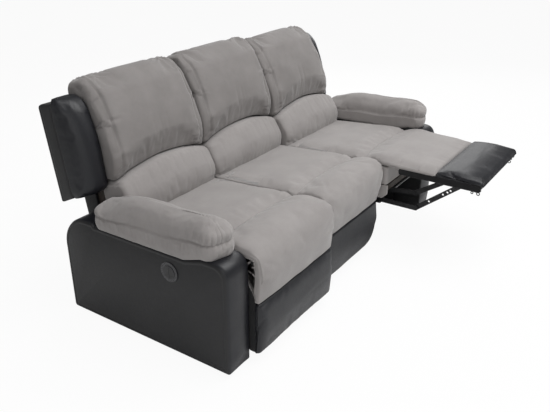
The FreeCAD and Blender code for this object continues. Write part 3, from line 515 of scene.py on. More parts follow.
GREY = microfibre("grey_microfibre", (0.355, 0.334, 0.326), (0.29, 0.272, 0.265))
# A darker copy of the grey cloth for the head pillows: painted shade for the dimmer light on
# their front-facing cloth
GREY_HEAD_PAINTED_SHADE = microfibre("grey_microfibre_head_painted_shade", (0.262, 0.246, 0.239), (0.206, 0.193, 0.187))
LINING = microfibre("black_lining", (0.016, 0.016, 0.017), (0.009, 0.009, 0.01))
HIDE = hide("black_hide", (0.0052, 0.0057, 0.0088), (0.0092, 0.010, 0.0148))
PANEL = hide("black_side_hide", (0.006, 0.006, 0.0072), (0.0095, 0.0097, 0.0115), 0.46)
STEEL = steel("black_steel", (0.008, 0.008, 0.009), 0.34)
ROD = steel("rod_steel", (0.55, 0.55, 0.56), 0.28, 1.0)
PLASTIC = steel("black_plastic", (0.012, 0.012, 0.013), 0.42)
RING = steel("switch_ring", (0.03, 0.03, 0.033), 0.24)
KNOB = steel("switch_button", (0.014, 0.014, 0.015), 0.36)
WOOD = timber("frame_timber", (0.02, 0.014, 0.01), (0.05, 0.036, 0.026))


def dress(obj, mat, body, stands_for=()):
    """Gives a piece its material and body, and hides the parts that it replaces."""
    obj.data.materials.clear()
    obj.data.materials.append(mat)
    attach(obj, body)
    if stands_for:
        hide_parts(*stands_for)
    return obj


# Seats: a top panel behind the cross seam, and a roll in front of it.
# Each soft piece is a generator: it yields its cloth request, and goes on once that has run.

TOP_FRONT = {"left": 14, "middle": 46, "right": 14}
TOP_REAR_LINE = [(152, 449), (166, 470), (196, 486), (350, 475), (520, 457), (592, 446),
                 (584, 425), (577, 353)]
ROLL_LINE = {
    "left": [(156, 452), (165, 476), (72, 497), (-45, 489), (-57, 380), (-47, 270), (-14, 270),
             (-14, 452)],
    "middle": [(156, 452), (165, 476), (72, 497), (4, 492), (-22, 400), (6, 271.5),
               (42, 271.5), (42, 452)],
    "right": [(156, 452), (165, 476), (72, 497), (-38, 490), (-140, 487), (-221, 479),
              (-221, 446), (-22, 446), (-20, 452)],
}
ROLL_RADII = {
    "left": [4, 13, 160, 62, 260, 13, 6, 8],
    "middle": [4, 13, 160, 56, 190, 12, 6, 4],
    "right": [4, 13, 160, 120, 200, 16, 6, 4, 2],
}
# d and z at which a roll leaves the carriage, and at which it has reached the footrest
ROLL_BLEND = {"left": ((30, 492), (-52, 418)), "right": ((10, 480), (-62, 480))}


def seat_drop(x):
    """How far the top lies below its crest towards the sides of a seat."""
    q = side_share(x)
    return 5 * q ** 2 + 15 * np.clip(q, 0, 1) ** 14


def seam_depth(x):
    """The cross seam, which bows forward towards the sides."""
    q = half_share(x)
    return CROSS_SEAM - 16 * q * q


def seat_sections(seat, points, radii, top_from, radius, follow):
    """Rings across a seat: points above top_from sink with the crown, and follow moves them."""
    xs, insets = edge_stations(GAP, PITCH - GAP, radius, 6, 40)
    counts = run_counts(points, radii, 7)
    rings = []
    for x, inset in zip(xs, insets):
        line = inset_outline(points, radii, counts, inset)
        d, z = line[:, 0].copy(), line[:, 1].copy()
        z -= seat_drop(np.full(len(z), x)) * smooth(top_from, top_from + 40, z)
        d += (seam_depth(x) - CROSS_SEAM) * follow(d)
        rings.append(seat_place(seat, x, d, z))
    return rings


def seam_pucker(x, d, away, wave, row, fade, seeds):
    """Small puckers at the cross seam, which fade with the distance away from it."""
    pucker = ripple(x / wave, row, 0, 1.0, seeds[0])
    pucker = pucker + 0.5 * ripple(x / 8, d / 30, 0, 1.0, seeds[1])
    return pucker * 1.5 * np.exp(-away / fade)


def seat_top(seat):
    """The flat part of a seat, behind the cross seam."""
    front = TOP_FRONT[seat]
    points = [(front, 353), (front, 447)] + TOP_REAR_LINE
    radii = [6, 6, 3, 8, 34, 200, 60, 12, 6, 8]
    rings = seat_sections(seat, points, radii, 440, 12,
                          lambda d: smooth(100, 160, d) * (1 - smooth(CROSS_SEAM, 320, d)))
    obj = build(seat + "_seat_top", rings, 4)
    x, d, z = seat_frame_of(seat, obj)
    side = np.minimum(x - GAP, PITCH - GAP - x)
    held = (z < 450) | (np.abs(d - seam_depth(x)) < 9) | (side < 4) | (d > 560)
    yield cloth_request(obj, held, 6, 2.2, 0.02)
    x, d, z = seat_frame_of(seat, obj)
    up = normals(obj)[:, 2]
    behind = np.clip(d - seam_depth(x) - 4, 0, None)
    lift = seam_pucker(x, d, behind, 19, 3, 17, (X0[seat], 4)) * (up > 0.2)
    lift += 3.0 * ripple(x, d, 0, 1 / 150, X0[seat]) * smooth(0.3, 0.8, up)
    push(obj, lift)
    keep_in_seat(obj, seat)
    dress(obj, GREY, CARRIER[seat], [seat + "_seat_cushion"])


def seat_roll(seat):
    """The front section of a seat: over the nose and down, or out along an open footrest."""
    rings = seat_sections(seat, ROLL_LINE[seat], ROLL_RADII[seat], 452, 13,
                          lambda d: smooth(90, 160, d))
    obj = build(seat + "_seat_roll", rings, 4)
    x, d, z = seat_frame_of(seat, obj)
    side = np.minimum(x - GAP, PITCH - GAP - x)
    if seat == "right":
        held = (z < 470) | (d < -212) | (side < 4)
    else:
        rear = -20 if seat == "left" else 36
        held = ((d > rear) & (z < 455)) | (z < 284) | (side < 4)
    yield cloth_request(obj, held | (np.abs(d - seam_depth(x)) < 9), 6, 2.2, 0.016)
    x, d, z = seat_frame_of(seat, obj)
    q = np.clip(side_share(x), 0, 1)
    no = normals(obj)
    ahead = np.clip(seam_depth(x) - d - 4, 0, None)
    lift = seam_pucker(x, d, ahead, 17, 0, 20, (X0[seat] + 9, 2)) * (no[:, 2] > 0.2)
    lift += 2.6 * ripple(x, d, z, 1 / 120, X0[seat] + 3) * (no[:, 2] > 0.1)
    if seat == "right":
        lift += -7 * (q ** 10 * smooth(-30, -60, d)) * (no[:, 2] > 0.3)
    else:
        front = np.clip(-no[:, 1], 0, 1) * (z < 480)
        lift += -9 * q ** 8 * front + 2.2 * ripple(x, d, z, 1 / 90, 5) * front
        lift += -3 * (np.exp(-np.abs(z - 272) / 12) * front)
    push(obj, lift)
    keep_in_seat(obj, seat)
    if seat == "middle":
        dress(obj, GREY, "sofa_base", [])
        return
    obj.data.materials.append(GREY)
    start, end = (tuple(map(float, (0, *seat_place(seat, 0, d, z)[1:])))
                  for d, z in ROLL_BLEND[seat])
    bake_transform(obj)
    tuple(start)
    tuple(end)
    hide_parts(seat + "_leg_pad")


def foot_end(seat):
    """The black leather end of a footrest, crowned, with a soft crease across it."""
    points = [(194.5, -16.8), (194.5, 17), (300, 24), (414, 17), (421, -17.2)]
    radii = [4, 12, 300, 19, 12]
    xs, insets = edge_stations(GAP, PITCH - GAP, 14, 6, 40)
    counts = run_counts(points, radii, 7)
    rings = []
    for x, inset in zip(xs, insets):
        line = inset_outline(points, radii, counts, inset)
        rings.append(rest_place(seat, x, line[:, 0], line[:, 1]))
    obj = build(seat + "_foot_end", rings, 4)
    x, s, t = rest_frame_of(seat, obj)
    yield cloth_request(obj, (t < -8) | (s < 198), 8, 2.6, 0.004)
    x, s, t = rest_frame_of(seat, obj)
    no = normals(obj)
    face = np.clip(no[:, 2] if seat == "right" else -no[:, 1], 0, 1)
    q = side_share(x)
    bow = 16 * ripple(x, 0, 0, 1 / 160, 2)
    crease = -1.6 * np.exp(-((s - 318 - bow) / 17) ** 2) * (1 - q ** 4)
    waves = 1.6 * ripple(x, s, 0, 1 / 110, X0[seat])
    lift = (crease + waves - 6 * np.clip(q, 0, 1) ** 9) * face
    lift += 1.2 * ripple(x / 15, s / 60, 0, 1.0, 3) * np.exp(-np.abs(s - 200) / 14) * face
    push(obj, lift)
    keep_in_seat(obj, seat)
    dress(obj, HIDE, seat + "_footrest", [seat + "_foot_pad"])


def at_side(side, near, far):
    """A span of x at one side of a seat, from its near to its far distance from that side."""
    return (near, far) if side == 0 else (PITCH - far, PITCH - near)


def thin_strip(name, place, span, points, radii, radius, step, cap_rings):
    """A strip at the side of a seat or a footrest, with a rounded outline."""
    xs, insets = edge_stations(*span, radius, 4, 3)
    counts = run_counts(points, radii, step)
    rings = []
    for x, inset in zip(xs, insets):
        line = inset_outline(points, radii, counts, inset, 6, 0.8)
        rings.append(place(x, line[:, 0], line[:, 1]))
    return build(name, rings, cap_rings)


def rest_edge(seat, side):
    """The black lining where it wraps round the side of a footrest's board; its black strip also
    stands in as painted shade for the dark band under the pads.
    """
    points = [(14, -36.6), (14, -6), (408, -6), (408, -36.6)]
    obj = thin_strip("%s_rest_edge_%d" % (seat, side), lambda *at: rest_place(seat, *at),
                     at_side(side, 3.8, 10.4), points, [4, 3, 8, 8], 2.4, 7, 3)
    push(obj, 0.5 * wobble(coords(obj) * 1000, 1 / 30, side))
    # Black lining that also paints the shade under the pads and in the gap beside the arm
    dress(obj, LINING, seat + "_footrest")


def side_cloth(seat):
    """The cloth over the boards at both sides of a seat box, with two soft upright folds."""
    points = [(7.4, 307), (34, 281.4), (558.6, 281.4), (558.6, 351.6), (7.4, 351.6)]
    for side in (0, 1):
        obj = thin_strip("%s_side_cloth_%d" % (seat, side), lambda *at: seat_place(seat, *at),
                         at_side(side, 3.2, 15.4), points, [14, 12, 4, 2, 3], 3.0, 6, 7)
        x, d, z = seat_frame_of(seat, obj)
        fold = np.exp(-((d - 44) / 9) ** 2) + np.exp(-((d - 92) / 12) ** 2)
        push(obj, -1.6 * fold + 0.5 * ripple(d, z, 0, 1 / 40, side))
        dress(obj, GREY, seat + "_carriage")
    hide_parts(seat + "_seat_side_boards")


def wire_ring(name, seat, x, s, t, radius, wire):
    """A wire ring that hangs flat beside a footrest bracket."""
    turns, sides = 28, 10
    verts, faces = [], []
    for i in range(turns):
        a = 2 * math.pi * i / turns
        for j in range(sides):
            b = 2 * math.pi * j / sides
            reach = radius + wire * math.cos(b)
            verts.append(rest_place(seat, x + wire * math.sin(b), s + reach * math.cos(a),
                                    t + reach * math.sin(a)))
            k, m = (i + 1) % turns, (j + 1) % sides
            faces.append((i * sides + j, k * sides + j, k * sides + m, i * sides + m))
    obj = new_object(name, verts, faces)
    fix_normals(obj)
    dress(obj, STEEL, seat + "_footrest")


def latch_tab(seat, side):
    """The tab at the far end of a footrest bracket, with a spring hook under it."""
    x = 26.5 if side == 0 else PITCH - 29.5
    tab = [(318, -46.5), (318, -33.2), (404, -33.2), (404, -40), (386, -50), (362, -47)]
    radii = [3, 2, 2, 4, 6, 4]
    counts = run_counts(tab, radii, 5)
    plate = outline(tab, radii, counts, 5)
    rim = outline(inset_points(tab, 0.5), radii, counts, 5)
    rings = [rest_place(seat, x + dx, line[:, 0], line[:, 1])
             for dx, line in ((0, rim), (0.5, plate), (2.5, plate), (3, rim))]
    obj = build("%s_latch_tab_%d" % (seat, side), rings)
    dress(obj, STEEL, seat + "_footrest")
    wire_ring("%s_hook_ring_%d" % (seat, side), seat, x + 1.5, 392, -53.5, 6.5, 2.2)
    wire_ring("%s_hook_eye_%d" % (seat, side), seat, x + 1.5, 364, -53.5, 5.0, 2.0)


def middle_apron():
    """The black leather apron under the fixed seat, with rounded lower corners."""
    points = [(9, 57), (-4, 160), (8, 268.5), (39, 268.5), (39, 57)]
    radii = [18, 300, 10, 3, 4]
    first, last = 3.9, PITCH - 3.9
    xs, insets = edge_stations(first, last, 14, 6, 44)
    counts = run_counts(points, radii, 7)
    rings = []
    for x, inset in zip(xs, insets):
        line = inset_outline(points, radii, counts, inset)
        d, z = line[:, 0], line[:, 1].copy()
        reach, rise = (34, 34) if x < PITCH / 2 else (120, 96)
        corner = np.clip(1 - min(x - first, last - x) / reach, 0, 1)
        round_off = rise * (1 - math.sqrt(max(0, 1 - corner ** 2)))
        z += round_off * (1 - smooth(60, 235, z))
        rings.append(seat_place("middle", x, d, z))
    obj = build("middle_apron", rings)
    x, d, z = seat_frame_of("middle", obj)
    face = np.clip(-normals(obj)[:, 1], 0, 1)
    push(obj, (2.4 * ripple(x, z, 0, 1 / 110, 8) - 7 * side_share(x) ** 8) * face)
    dress(obj, HIDE, "sofa_base", ["middle_front_panel"])


# Backs

PILLOW_SEAM = 43.0    # distance of a pillow's two upright seams from the sides of its seat
PILLOW_LINE = {
    "head": [(111.4, SEAM_U + 4), (16, SEAM_U + 4), (-9, 300), (12, 432), (50, 548), (104, 609),
             (180, 604), (196, 540), (111.4, 538.5)],
    "lumbar": [(111.4, SEAM_U - 2), (111.4, 31), (60, 22), (-24, 24), (-48, 104),
               (-12, SEAM_U - 2)],
}
PILLOW_RADII = {
    "head": [7, 26, 150, 260, 110, 44, 22, 10, 2],
    "lumbar": [7, 8, 10, 26, 110, 30],
}


def arch(x):
    """How far the seam between head and lumbar pillows rises in the middle."""
    q = half_share(x)
    return 24 - 46 * q * q


def gathers(x, along, inward, amount, seed, spacing=17.0):
    """Short folds that run in from a gathered side seam, in clusters along it."""
    cluster = 0.5 + 0.5 * smooth(-0.25, 0.35, ripple(along, 0, seed, 1 / 75, seed))
    bend = along + 5 * ripple(inward, along, 0, 1 / 35, seed)
    fine = ripple(bend / spacing, inward / 90, 0, 1.0, seed + 11)
    ridge = 1 - np.abs(fine) * 2.2
    reach = np.clip(30 + 26 * ripple(along / 26, 0, 0, 1.0, seed + 5), 12, 60)
    fade = np.exp(-(np.clip(inward, 0, None) / reach) ** 2) * smooth(-16, 0, inward)
    return amount * ridge * fade * cluster


def pillow(seat, kind):
    """A head or lumbar pillow, with two upright seams that gather its cloth."""
    head = kind == "head"
    points, radii = PILLOW_LINE[kind], PILLOW_RADII[kind]
    xs, insets = edge_stations(GAP, PITCH - GAP, 26 if head else 22, 7, 72)
    counts = run_counts(points, radii, 5.5)
    rings = []
    for x, inset in zip(xs, insets):
        line = inset_outline(points, radii, counts, inset * 0.72, 8, 1.5)
        v, u = line[:, 0].copy(), line[:, 1].copy()
        q = abs(half_share(x))
        if head:
            u += arch(x) * (1 - smooth(SEAM_U, SEAM_U + 190, u))
            u -= 24 * q ** 9 * smooth(430, 600, u)
        else:
            u += arch(x) * smooth(40, SEAM_U, u)
        crown = 13 * (1 - q ** 2.4)
        v -= crown * smooth(105, 40, v) * (1 - 0.35 * smooth(480, 600, u))
        rings.append(back_place(seat, x, np.minimum(v, 196.0), u))
    obj = build("%s_%s_cover" % (seat, kind), rings, 7, 0.002)
    x, v, u = back_frame_of(seat, obj)
    gusset = np.minimum(np.abs(x - PILLOW_SEAM), np.abs(PITCH - PILLOW_SEAM - x)) < 3.2
    join = (u < SEAM_U + arch(x) + 6) if head else (u > SEAM_U + arch(x) - 6)
    held = ((v > 98) & (u < 545)) | gusset | join | (u < 40)
    yield cloth_request(obj, held, 12, 3.2, 0.035 if head else 0.016)
    x, v, u = back_frame_of(seat, obj)
    # distance round the front from the bottom of the pillow
    along = u + np.clip(v - 40, 0, None) * smooth(480, 560, u)
    lift = np.zeros(len(x))
    for k, inward in enumerate((x - PILLOW_SEAM, PITCH - PILLOW_SEAM - x)):
        seed = 17 * k + X0[seat] / 91 + (0 if head else 40)
        lift += gathers(x, along, inward, 7.0 if head else 4.8, seed)
        lift += -3.4 * np.exp(-(inward / 3.4) ** 2)
        boxing = ripple(along / 9, -inward / 50, 0, 1.0, seed + 2)
        lift += 1.3 * boxing * smooth(0, 8, -inward)
    lift += 3.2 * ripple(x, u, v, 1 / 140, X0[seat] + (0 if head else 50))
    edge = SEAM_U + arch(x)
    from_join = u - edge if head else edge - u
    tight = np.exp(-np.clip(from_join, 0, None) / (16 if head else 14))
    lift += 1.1 * ripple(x / 18, u / 60, 0, 1.0, 6) * tight
    front = 1 - smooth(92, 112, v)
    if head:
        front = np.maximum(front, smooth(540, 575, u))
    push(obj, lift * front)
    keep_in_seat(obj, seat)
    # The head pillows take the darker grey, whose darkness is painted shade
    dress(obj, GREY_HEAD_PAINTED_SHADE if head else GREY, BACK[seat],
          ["%s_%s_pillow" % (seat, kind)])


def rear_shell(seat):
    """The leather-covered rear shell of a back, seamed round its edges.

    Beside the arm it comes down to the seat; over the arm it ends where it clears the arm
    with the back reclined.
    """
    x_a, x_b = SHELL_GAP, PITCH - SHELL_GAP
    if seat == "left":
        x_a = SHELL_GAP - WING_WIDE + 0.6
    if seat == "right":
        x_b = PITCH - SHELL_GAP + WING_WIDE - 0.6
    points = [(150.6, SHELL_LOW), (230.5, SHELL_LOW), (231, SHELL_TOP), (150.6, SHELL_TOP)]
    radii = [6, 14, 24, 10]
    xs, insets = edge_stations(x_a, x_b, 11, 6, 60)
    step_x = {"left": (3.2, 1.2), "middle": (), "right": (PITCH - 3.2, PITCH - 1.2)}[seat]
    order = np.argsort(np.concatenate([xs, step_x]))
    xs = np.concatenate([xs, step_x])[order]
    insets = np.concatenate([insets, [0.0] * len(step_x)])[order]
    counts = run_counts(points, radii, 8)
    rings = []
    for x, inset in zip(xs, insets):
        line = inset_outline(points, radii, counts, inset)
        v, u = line[:, 0], line[:, 1].copy()
        out = max(0.0, SHELL_GAP - x, x - (PITCH - SHELL_GAP))
        if out > 0:
            raised = smooth(0, 2, out)
            floor = (158 + (v - 150) * (134 - 158) / 81) * raised + SHELL_LOW * (1 - raised)
            u = floor + (u - SHELL_LOW) * (SHELL_TOP - floor) / (SHELL_TOP - SHELL_LOW)
        rings.append(back_place(seat, x, v, u))
    obj = build(seat + "_rear_shell", rings, 9, 0.001)
    x, v, u = back_frame_of(seat, obj)
    rear = smooth(222, 229, v)
    margin = np.minimum(np.minimum(x - x_a, x_b - x), SHELL_TOP - u)
    border = -2.2 * np.exp(-((margin - 26) / 3.2) ** 2)
    cross = -2.0 * np.exp(-((u - 236) / 3.2) ** 2) * (margin > 26)
    lift = rear * (border + cross)
    lift += rear * (1.6 * ripple(x, u, 0, 1 / 130, X0[seat]) - 1.6)
    end = 1 - smooth(0, 3, np.minimum(x - x_a, x_b - x))
    end = end * smooth(160, 166, v) * (1 - smooth(216, 222, v))
    lift += -1.4 * end * np.exp(-((v - 214) / 3) ** 2)
    push(obj, lift)
    dress(obj, PANEL, BACK[seat], [seat + "_back_panel"])


def wing(seat):
    """The padded leather wing beside the pillows, gathered at its top rear corner."""
    low, top = 154.0, 536.0
    peak = top + 18
    heights = np.concatenate([np.linspace(0, 1, 9) ** 2 * 40 + low + 1,
                              np.linspace(low + 52, top - 40, 44),
                              peak - 58 * np.linspace(1, 0, 13) ** 2])
    rows = []
    for h in heights:
        f = (h - low) / (peak - low)
        stand = 92 + 10 * math.sin(math.pi * min(1, f * 1.15)) - 22 * max(0, f - 0.5) ** 2 * 4
        foot = 1 - min(1.0, (h - low) / 44)
        tip = 1 - min(1.0, (peak - h) / 66)
        shrink = math.sqrt(max(0.02, 1 - foot ** 2)) * math.sqrt(max(0.02, 1 - tip ** 2))
        stand = 16 + (stand - 16) * shrink
        inset = 15 * (1 - shrink)
        points = [(inset, 150), (inset, 150 - stand), (58, 150 - stand * 1.04),
                  (113.5 - inset, 150 - stand * 0.5), (115 - inset, 150)]
        rows.append((h, points, [2, 16 * shrink + 2, 60, 44 * shrink + 2, 3]))
    full_row = rows[30]
    counts = run_counts(full_row[1], full_row[2], 4.5)
    rings = []
    for h, points, radii in rows:
        line = outline(points, radii, counts, 10)
        x = CLEAR - line[:, 0] if seat == "left" else PITCH - CLEAR + line[:, 0]
        rings.append(back_place(seat, x, line[:, 1], np.full(len(x), h)))
    obj = build(seat + "_wing_pad", rings, 6, 0.003)

    def outward(x):
        return (CLEAR - x) if seat == "left" else (x - PITCH + CLEAR)
    x, v, u = back_frame_of(seat, obj)
    yield cloth_request(obj, (v > 144) | (outward(x) < 3), 6, 2.6, 0.01)
    x, v, u = back_frame_of(seat, obj)
    out = outward(x)
    near_top = smooth(top - 110, top + 8, u) * smooth(20, 90, out)
    folds = 1 - 2.2 * np.abs(ripple(out / 14, v / 18, u / 90, 1.0, 3))
    lift = 1.5 * folds * near_top
    lift += 1.6 * ripple(x, u, v, 1 / 150, X0[seat])
    lift += 0.8 * ripple(u / 13, out / 60, 0, 1.0, 9) * np.exp(-np.clip(out - 2, 0, None) / 16)
    push(obj, lift * smooth(149.5, 138, v))
    dress(obj, HIDE, seat + "_back", [seat + "_wing"])


# Arms

ARM_BASE = {"left": -WIDTH / 2, "right": WIDTH / 2 - ARM}
ARM_LINE = [(0, 20.5), (0, 474), (108, 474), (186, 452), (650, 452), (657, 462), (754.5, 462),
            (836.5, 380), (836.5, 20.5)]
ARM_RADII = [8, 78, 24, 24, 4, 4, 140, 140, 16]


def arm_stations(side):
    """x and inset of each ring: a seam groove and a large round outside, a small one inside."""
    halves = []
    for edge, groove in ((13.0, [(0.0, 22.0), (1.6, 18.0), (0.0, 14.0)]), (5.0, [(0.0, 6.0)])):
        turns = np.linspace(0.12, math.pi / 2, 8)
        half = groove + [(edge * (1 - math.cos(a)), edge * (1 - math.sin(a))) for a in turns]
        half += [(edge + (ARM / 2 - edge) * k / 8, 0.0) for k in range(1, 9)]
        halves.append(half)
    table = halves[0] + [(ARM - x, inset) for x, inset in reversed(halves[1][:-1])]
    if side == "right":
        table = [(ARM - x, inset) for x, inset in reversed(table)]
    return table


def arm(side):
    """An arm in leather: a flat side panel seamed to a crowned strip round its edge."""
    base = ARM_BASE[side]
    counts = run_counts(ARM_LINE, ARM_RADII, 9)
    rings = []
    for x, inset in arm_stations(side):
        line = inset_outline(ARM_LINE, ARM_RADII, counts, inset, 12)
        d, z = line[:, 0].copy(), line[:, 1].copy()
        q = 2 * x / ARM - 1
        crown = 13 * max(0, 1 - q * q)
        d -= crown * smooth(90, 10, d) * smooth(20, 90, z)
        z += 0.6 * crown * smooth(430, 470, z) * smooth(140, 90, d)
        rings.append(world(base + x, d, z))
    obj = build(side + "_arm_cover", rings)
    co = coords(obj) * 1000
    x, d, z = co[:, 0] - base, co[:, 1] + FRONT, co[:, 2]
    q = np.abs(2 * x / ARM - 1)
    face = smooth(120, 20, d) * (1 - q ** 6)
    lift = 2.2 * ripple(x, d, z, 1 / 90, base) * face
    puckers = 1.3 * ripple(z / 16, d / 16, x / 70, 1.0, 4)
    lift += puckers * np.exp(-(1 - q) * 9) * face * smooth(30, 120, z)
    push(obj, lift)
    dress(obj, PANEL, "sofa_base", [side + "_arm"])
    # The crowned strip shines more than the side panel, so its faces get the hide
    obj.data.materials.append(HIDE)
    for f in obj.data.polygons:
        x = f.center.x * 1000 - base
        if abs(f.normal.x) < 0.93 and x > 3 and ARM - x > 3:
            f.material_index = 1


PAD_FLOOR, PAD_SEAM_RISE = 452.6, 66.0


def pad_seam(d):
    """Height of the seam between an arm pillow's boxing strip and its crown."""
    return PAD_FLOOR + PAD_SEAM_RISE + 18 * smooth(300, 120, d) - 12 * smooth(380, 600, d)


def arm_pillow(side):
    """The pillow on an arm: a boxing strip below, a crown above, pleated round its nose."""
    base = ARM_BASE[side]
    outer, inner = -8.0, 129.0
    seed = 3.0 if side == "left" else 8.0
    # plan outline, from the rear inner corner along the inner side to the nose and back
    plan = [(inner, 640), (inner, 20), (outer + 4, 68), (outer, 640)]
    pts = outline(plan, [34, 50, 42, 34], [96, 46, 96, 22], 20)
    spine_x = ARM / 2 - 4
    if side == "right":
        pts[:, 0] = ARM - pts[:, 0]
        spine_x = ARM - spine_x
    axis_a, axis_b = np.array([spine_x, 118.0]), np.array([spine_x, 592.0])
    along = (pts - axis_a) @ (axis_b - axis_a) / np.sum((axis_b - axis_a) ** 2)
    spine = axis_a + np.clip(along, 0, 1)[:, None] * (axis_b - axis_a)
    away = pts - spine
    way = away / np.linalg.norm(away, axis=1)[:, None]
    d = pts[:, 1]
    nose, tail = smooth(200, 80, d), smooth(560, 640, d)
    floor = PAD_FLOOR + (477.5 - PAD_FLOOR) * np.clip((188 - d) / 78, 0, 1)
    seam = pad_seam(d)
    height = 84 - 10 * smooth(300, 120, d) - 34 * smooth(430, 640, d)
    round_it = np.concatenate([[0], np.cumsum(np.linalg.norm(np.diff(pts, axis=0), axis=1))])

    def noise_round(length, row):
        return np.array([noise.noise(Vector((a / length, seed, row))) for a in round_it])
    soft, tuck = noise_round(60.0, 5), noise_round(24.0, 9)
    turns = math.pi * (round_it + 9 * noise_round(31.0, 2)) / 19.0
    fold = 0.5 * np.abs(np.sin(turns)) ** 0.7
    loops = []
    for f in (0.3, 0.6, 0.85):
        # underside
        loops.append((spine + away * f, PAD_FLOOR + (floor - PAD_FLOOR) * np.clip(f * 1.2, 0, 1)))
    for k in range(15):
        # boxing strip, drawn in at the seam
        f = k / 14
        out = 1 + 0.05 * math.sin(math.pi * f) - 0.05 * (1 - f) ** 4
        ruffle = (0.8 + 2.6 * nose) * (2 * fold - 0.6) * 0.7 * f + 1.2 * soft
        ruffle = ruffle + 0.9 * np.abs(tuck) * math.sin(math.pi * f)
        p = spine + away * out + way * ruffle[:, None] - way * (5.0 if k == 14 else 0)
        loops.append((p, floor + (seam - floor) * f))
    for k in range(1, 25):
        # crown, whose last ring stops short of the spine
        f = k / 24.6
        a = math.pi / 2 * f
        puff = 1 + 0.09 * math.sin(min(math.pi, 3.2 * a))
        pleat = (0.6 + 4.6 * nose + 1.6 * tail) * (2 * fold - 0.7)
        pleat = pleat * math.exp(-(f / 0.34) ** 2)
        p = spine + away * math.cos(a) * puff + way * pleat[:, None] * math.cos(a)
        z = seam + 2 + height * math.sin(a) ** 0.86
        loops.append((p, z + pleat * math.sin(a) * 0.7 + 2.4 * soft * math.sin(a)))
    rings = [world(base + p[:, 0], p[:, 1], z) for p, z in loops]
    obj = build(side + "_arm_pillow", rings, 3)
    co = coords(obj) * 1000
    at_seam = np.abs(co[:, 2] - pad_seam(co[:, 1] + FRONT)) < 3
    yield cloth_request(obj, (co[:, 2] < PAD_FLOOR + 26) | at_seam, 8, 2.6, 0.03)
    co = coords(obj) * 1000
    push(obj, 2.4 * wobble(co, 1 / 110, seed) * smooth(490, 540, co[:, 2]))
    out, near = 12, 0.5    # room outside the arm, and towards the seat
    if side == "left":
        keep_between(obj, base - out, base + ARM - near)
    else:
        keep_between(obj, base + near, base + ARM + out)
    dress(obj, GREY, "sofa_base", [side + "_arm_pad"])


# Pieces

soft_pieces = []
for seat in ("left", "middle", "right"):
    soft_pieces += [seat_top(seat), seat_roll(seat), pillow(seat, "head"), pillow(seat, "lumbar")]
for seat in ("left", "right"):
    soft_pieces += [foot_end(seat), wing(seat), arm_pillow(seat)]
requests = [next(piece) for piece in soft_pieces]
run_cloth(requests)
for piece in soft_pieces:
    next(piece, None)
for seat in ("left", "middle", "right"):
    rear_shell(seat)
middle_apron()
for seat in ("left", "right"):
    for side in (0, 1):
        rest_edge(seat, side)
        latch_tab(seat, side)
    side_cloth(seat)
    arm(seat)

looks = {"black_steel": STEEL, "rod_steel": ROD, "frame_wood": WOOD, "actuator_black": PLASTIC,
         "glide_black": PLASTIC, "switch_ring": RING, "switch_black": KNOB, "grey_cloth": GREY,
         "black_hide": HIDE, "board_black": LINING}
slots = {s["node"]: s["material_slot"] for s in frame["record"]["subparts"]}
for name, obj in nodes.items():
    obj.data.materials.clear()
    lined = name.endswith("footrest_board")
    obj.data.materials.append(LINING if lined else looks[slots[name]])


# Floor, light and camera

def backdrop():
    """A white floor that takes the shadow and fades to plain white for the camera."""
    floor = new_object("floor", [(-30, -30, 0), (30, -30, 0), (30, 30, 0), (-30, 30, 0)],
                       [(0, 1, 2, 3)])
    mat, nt, bsdf = tree_of("floor_white")
    put(bsdf, Base_Color=(0.9, 0.9, 0.9, 1), Roughness=0.9)
    glow = add(nt, "ShaderNodeEmission", Color=(1, 1, 1, 1), Strength=1.0)
    share = nt.nodes.new("ShaderNodeMath")
    share.operation = "MULTIPLY"
    share.inputs[1].default_value = 0.94
    seen = nt.nodes.new("ShaderNodeLightPath").outputs["Is Camera Ray"]
    nt.links.new(seen, share.inputs[0])
    both = nt.nodes.new("ShaderNodeMixShader")
    for source, socket in zip((share, bsdf, glow), both.inputs):
        nt.links.new(source.outputs[0], socket)
    nt.links.new(both.outputs[0], nt.nodes["Material Output"].inputs["Surface"])
    floor.data.materials.append(mat)


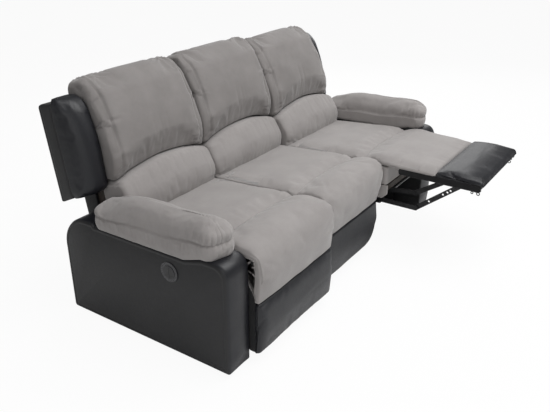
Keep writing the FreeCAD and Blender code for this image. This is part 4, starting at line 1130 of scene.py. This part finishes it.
def surroundings():
    """A dim white world that the camera sees as plain white."""
    world_data = bpy.data.worlds.new("studio")
    bpy.context.scene.world = world_data
    world_data.use_nodes = True
    nt = world_data.node_tree
    sky = put(nt.nodes["Background"], Color=(1, 1, 1, 1), Strength=0.26)
    white = add(nt, "ShaderNodeBackground", Color=(1, 1, 1, 1), Strength=1.0)
    path = nt.nodes.new("ShaderNodeLightPath")
    seen = nt.nodes.new("ShaderNodeMath")
    seen.operation = "MAXIMUM"
    nt.links.new(path.outputs["Is Camera Ray"], seen.inputs[0])
    nt.links.new(path.outputs["Is Transmission Ray"], seen.inputs[1])
    both = nt.nodes.new("ShaderNodeMixShader")
    for source, socket in zip((seen, sky, white), both.inputs):
        nt.links.new(source.outputs[0], socket)
    nt.links.new(both.outputs[0], nt.nodes["World Output"].inputs["Surface"])


def lamp(name, place, target, size, power):
    data = bpy.data.lights.new(name, "AREA")
    data.shape = "RECTANGLE"
    data.size, data.size_y = size
    data.energy = power
    obj = bpy.data.objects.new(name, data)
    obj.location = place
    obj.rotation_mode = "QUATERNION"
    obj.rotation_quaternion = (Vector(target) - Vector(place)).to_track_quat("-Z", "Y")
    bpy.context.scene.collection.objects.link(obj)


backdrop()
surroundings()
lamp("key", (0.4, -1.5, 4.0), (0.2, 0, 0.4), (3.8, 3.2), 155)
lamp("fill_left", (-4.2, -1.6, 1.8), (0, 0, 0.5), (2.0, 2.0), 22)
lamp("rim_right", (3.3, 1.3, 2.2), (0.5, -0.3, 0.5), (3.0, 2.4), 46)

# The camera was fitted to the photograph
camera = bpy.data.cameras.new("camera")
camera.lens, camera.sensor_width = 42.46, 36
cam = bpy.data.objects.new("camera", camera)
bpy.context.scene.collection.objects.link(cam)
cam.location = (-2.427, -1.191 - FRONT / 1000, 1.589)
yaw, pitch, roll = math.radians(33.844), math.radians(24.925), math.radians(0.108)
ahead = Vector((math.cos(yaw) * math.cos(pitch), math.sin(yaw) * math.cos(pitch),
                -math.sin(pitch)))
turn = ahead.to_track_quat("-Z", "Y").to_matrix() @ Matrix.Rotation(roll, 3, "Z")
cam.rotation_euler = turn.to_euler()
bpy.context.scene.camera = cam
bpy.context.scene.view_settings.view_transform = "Standard"
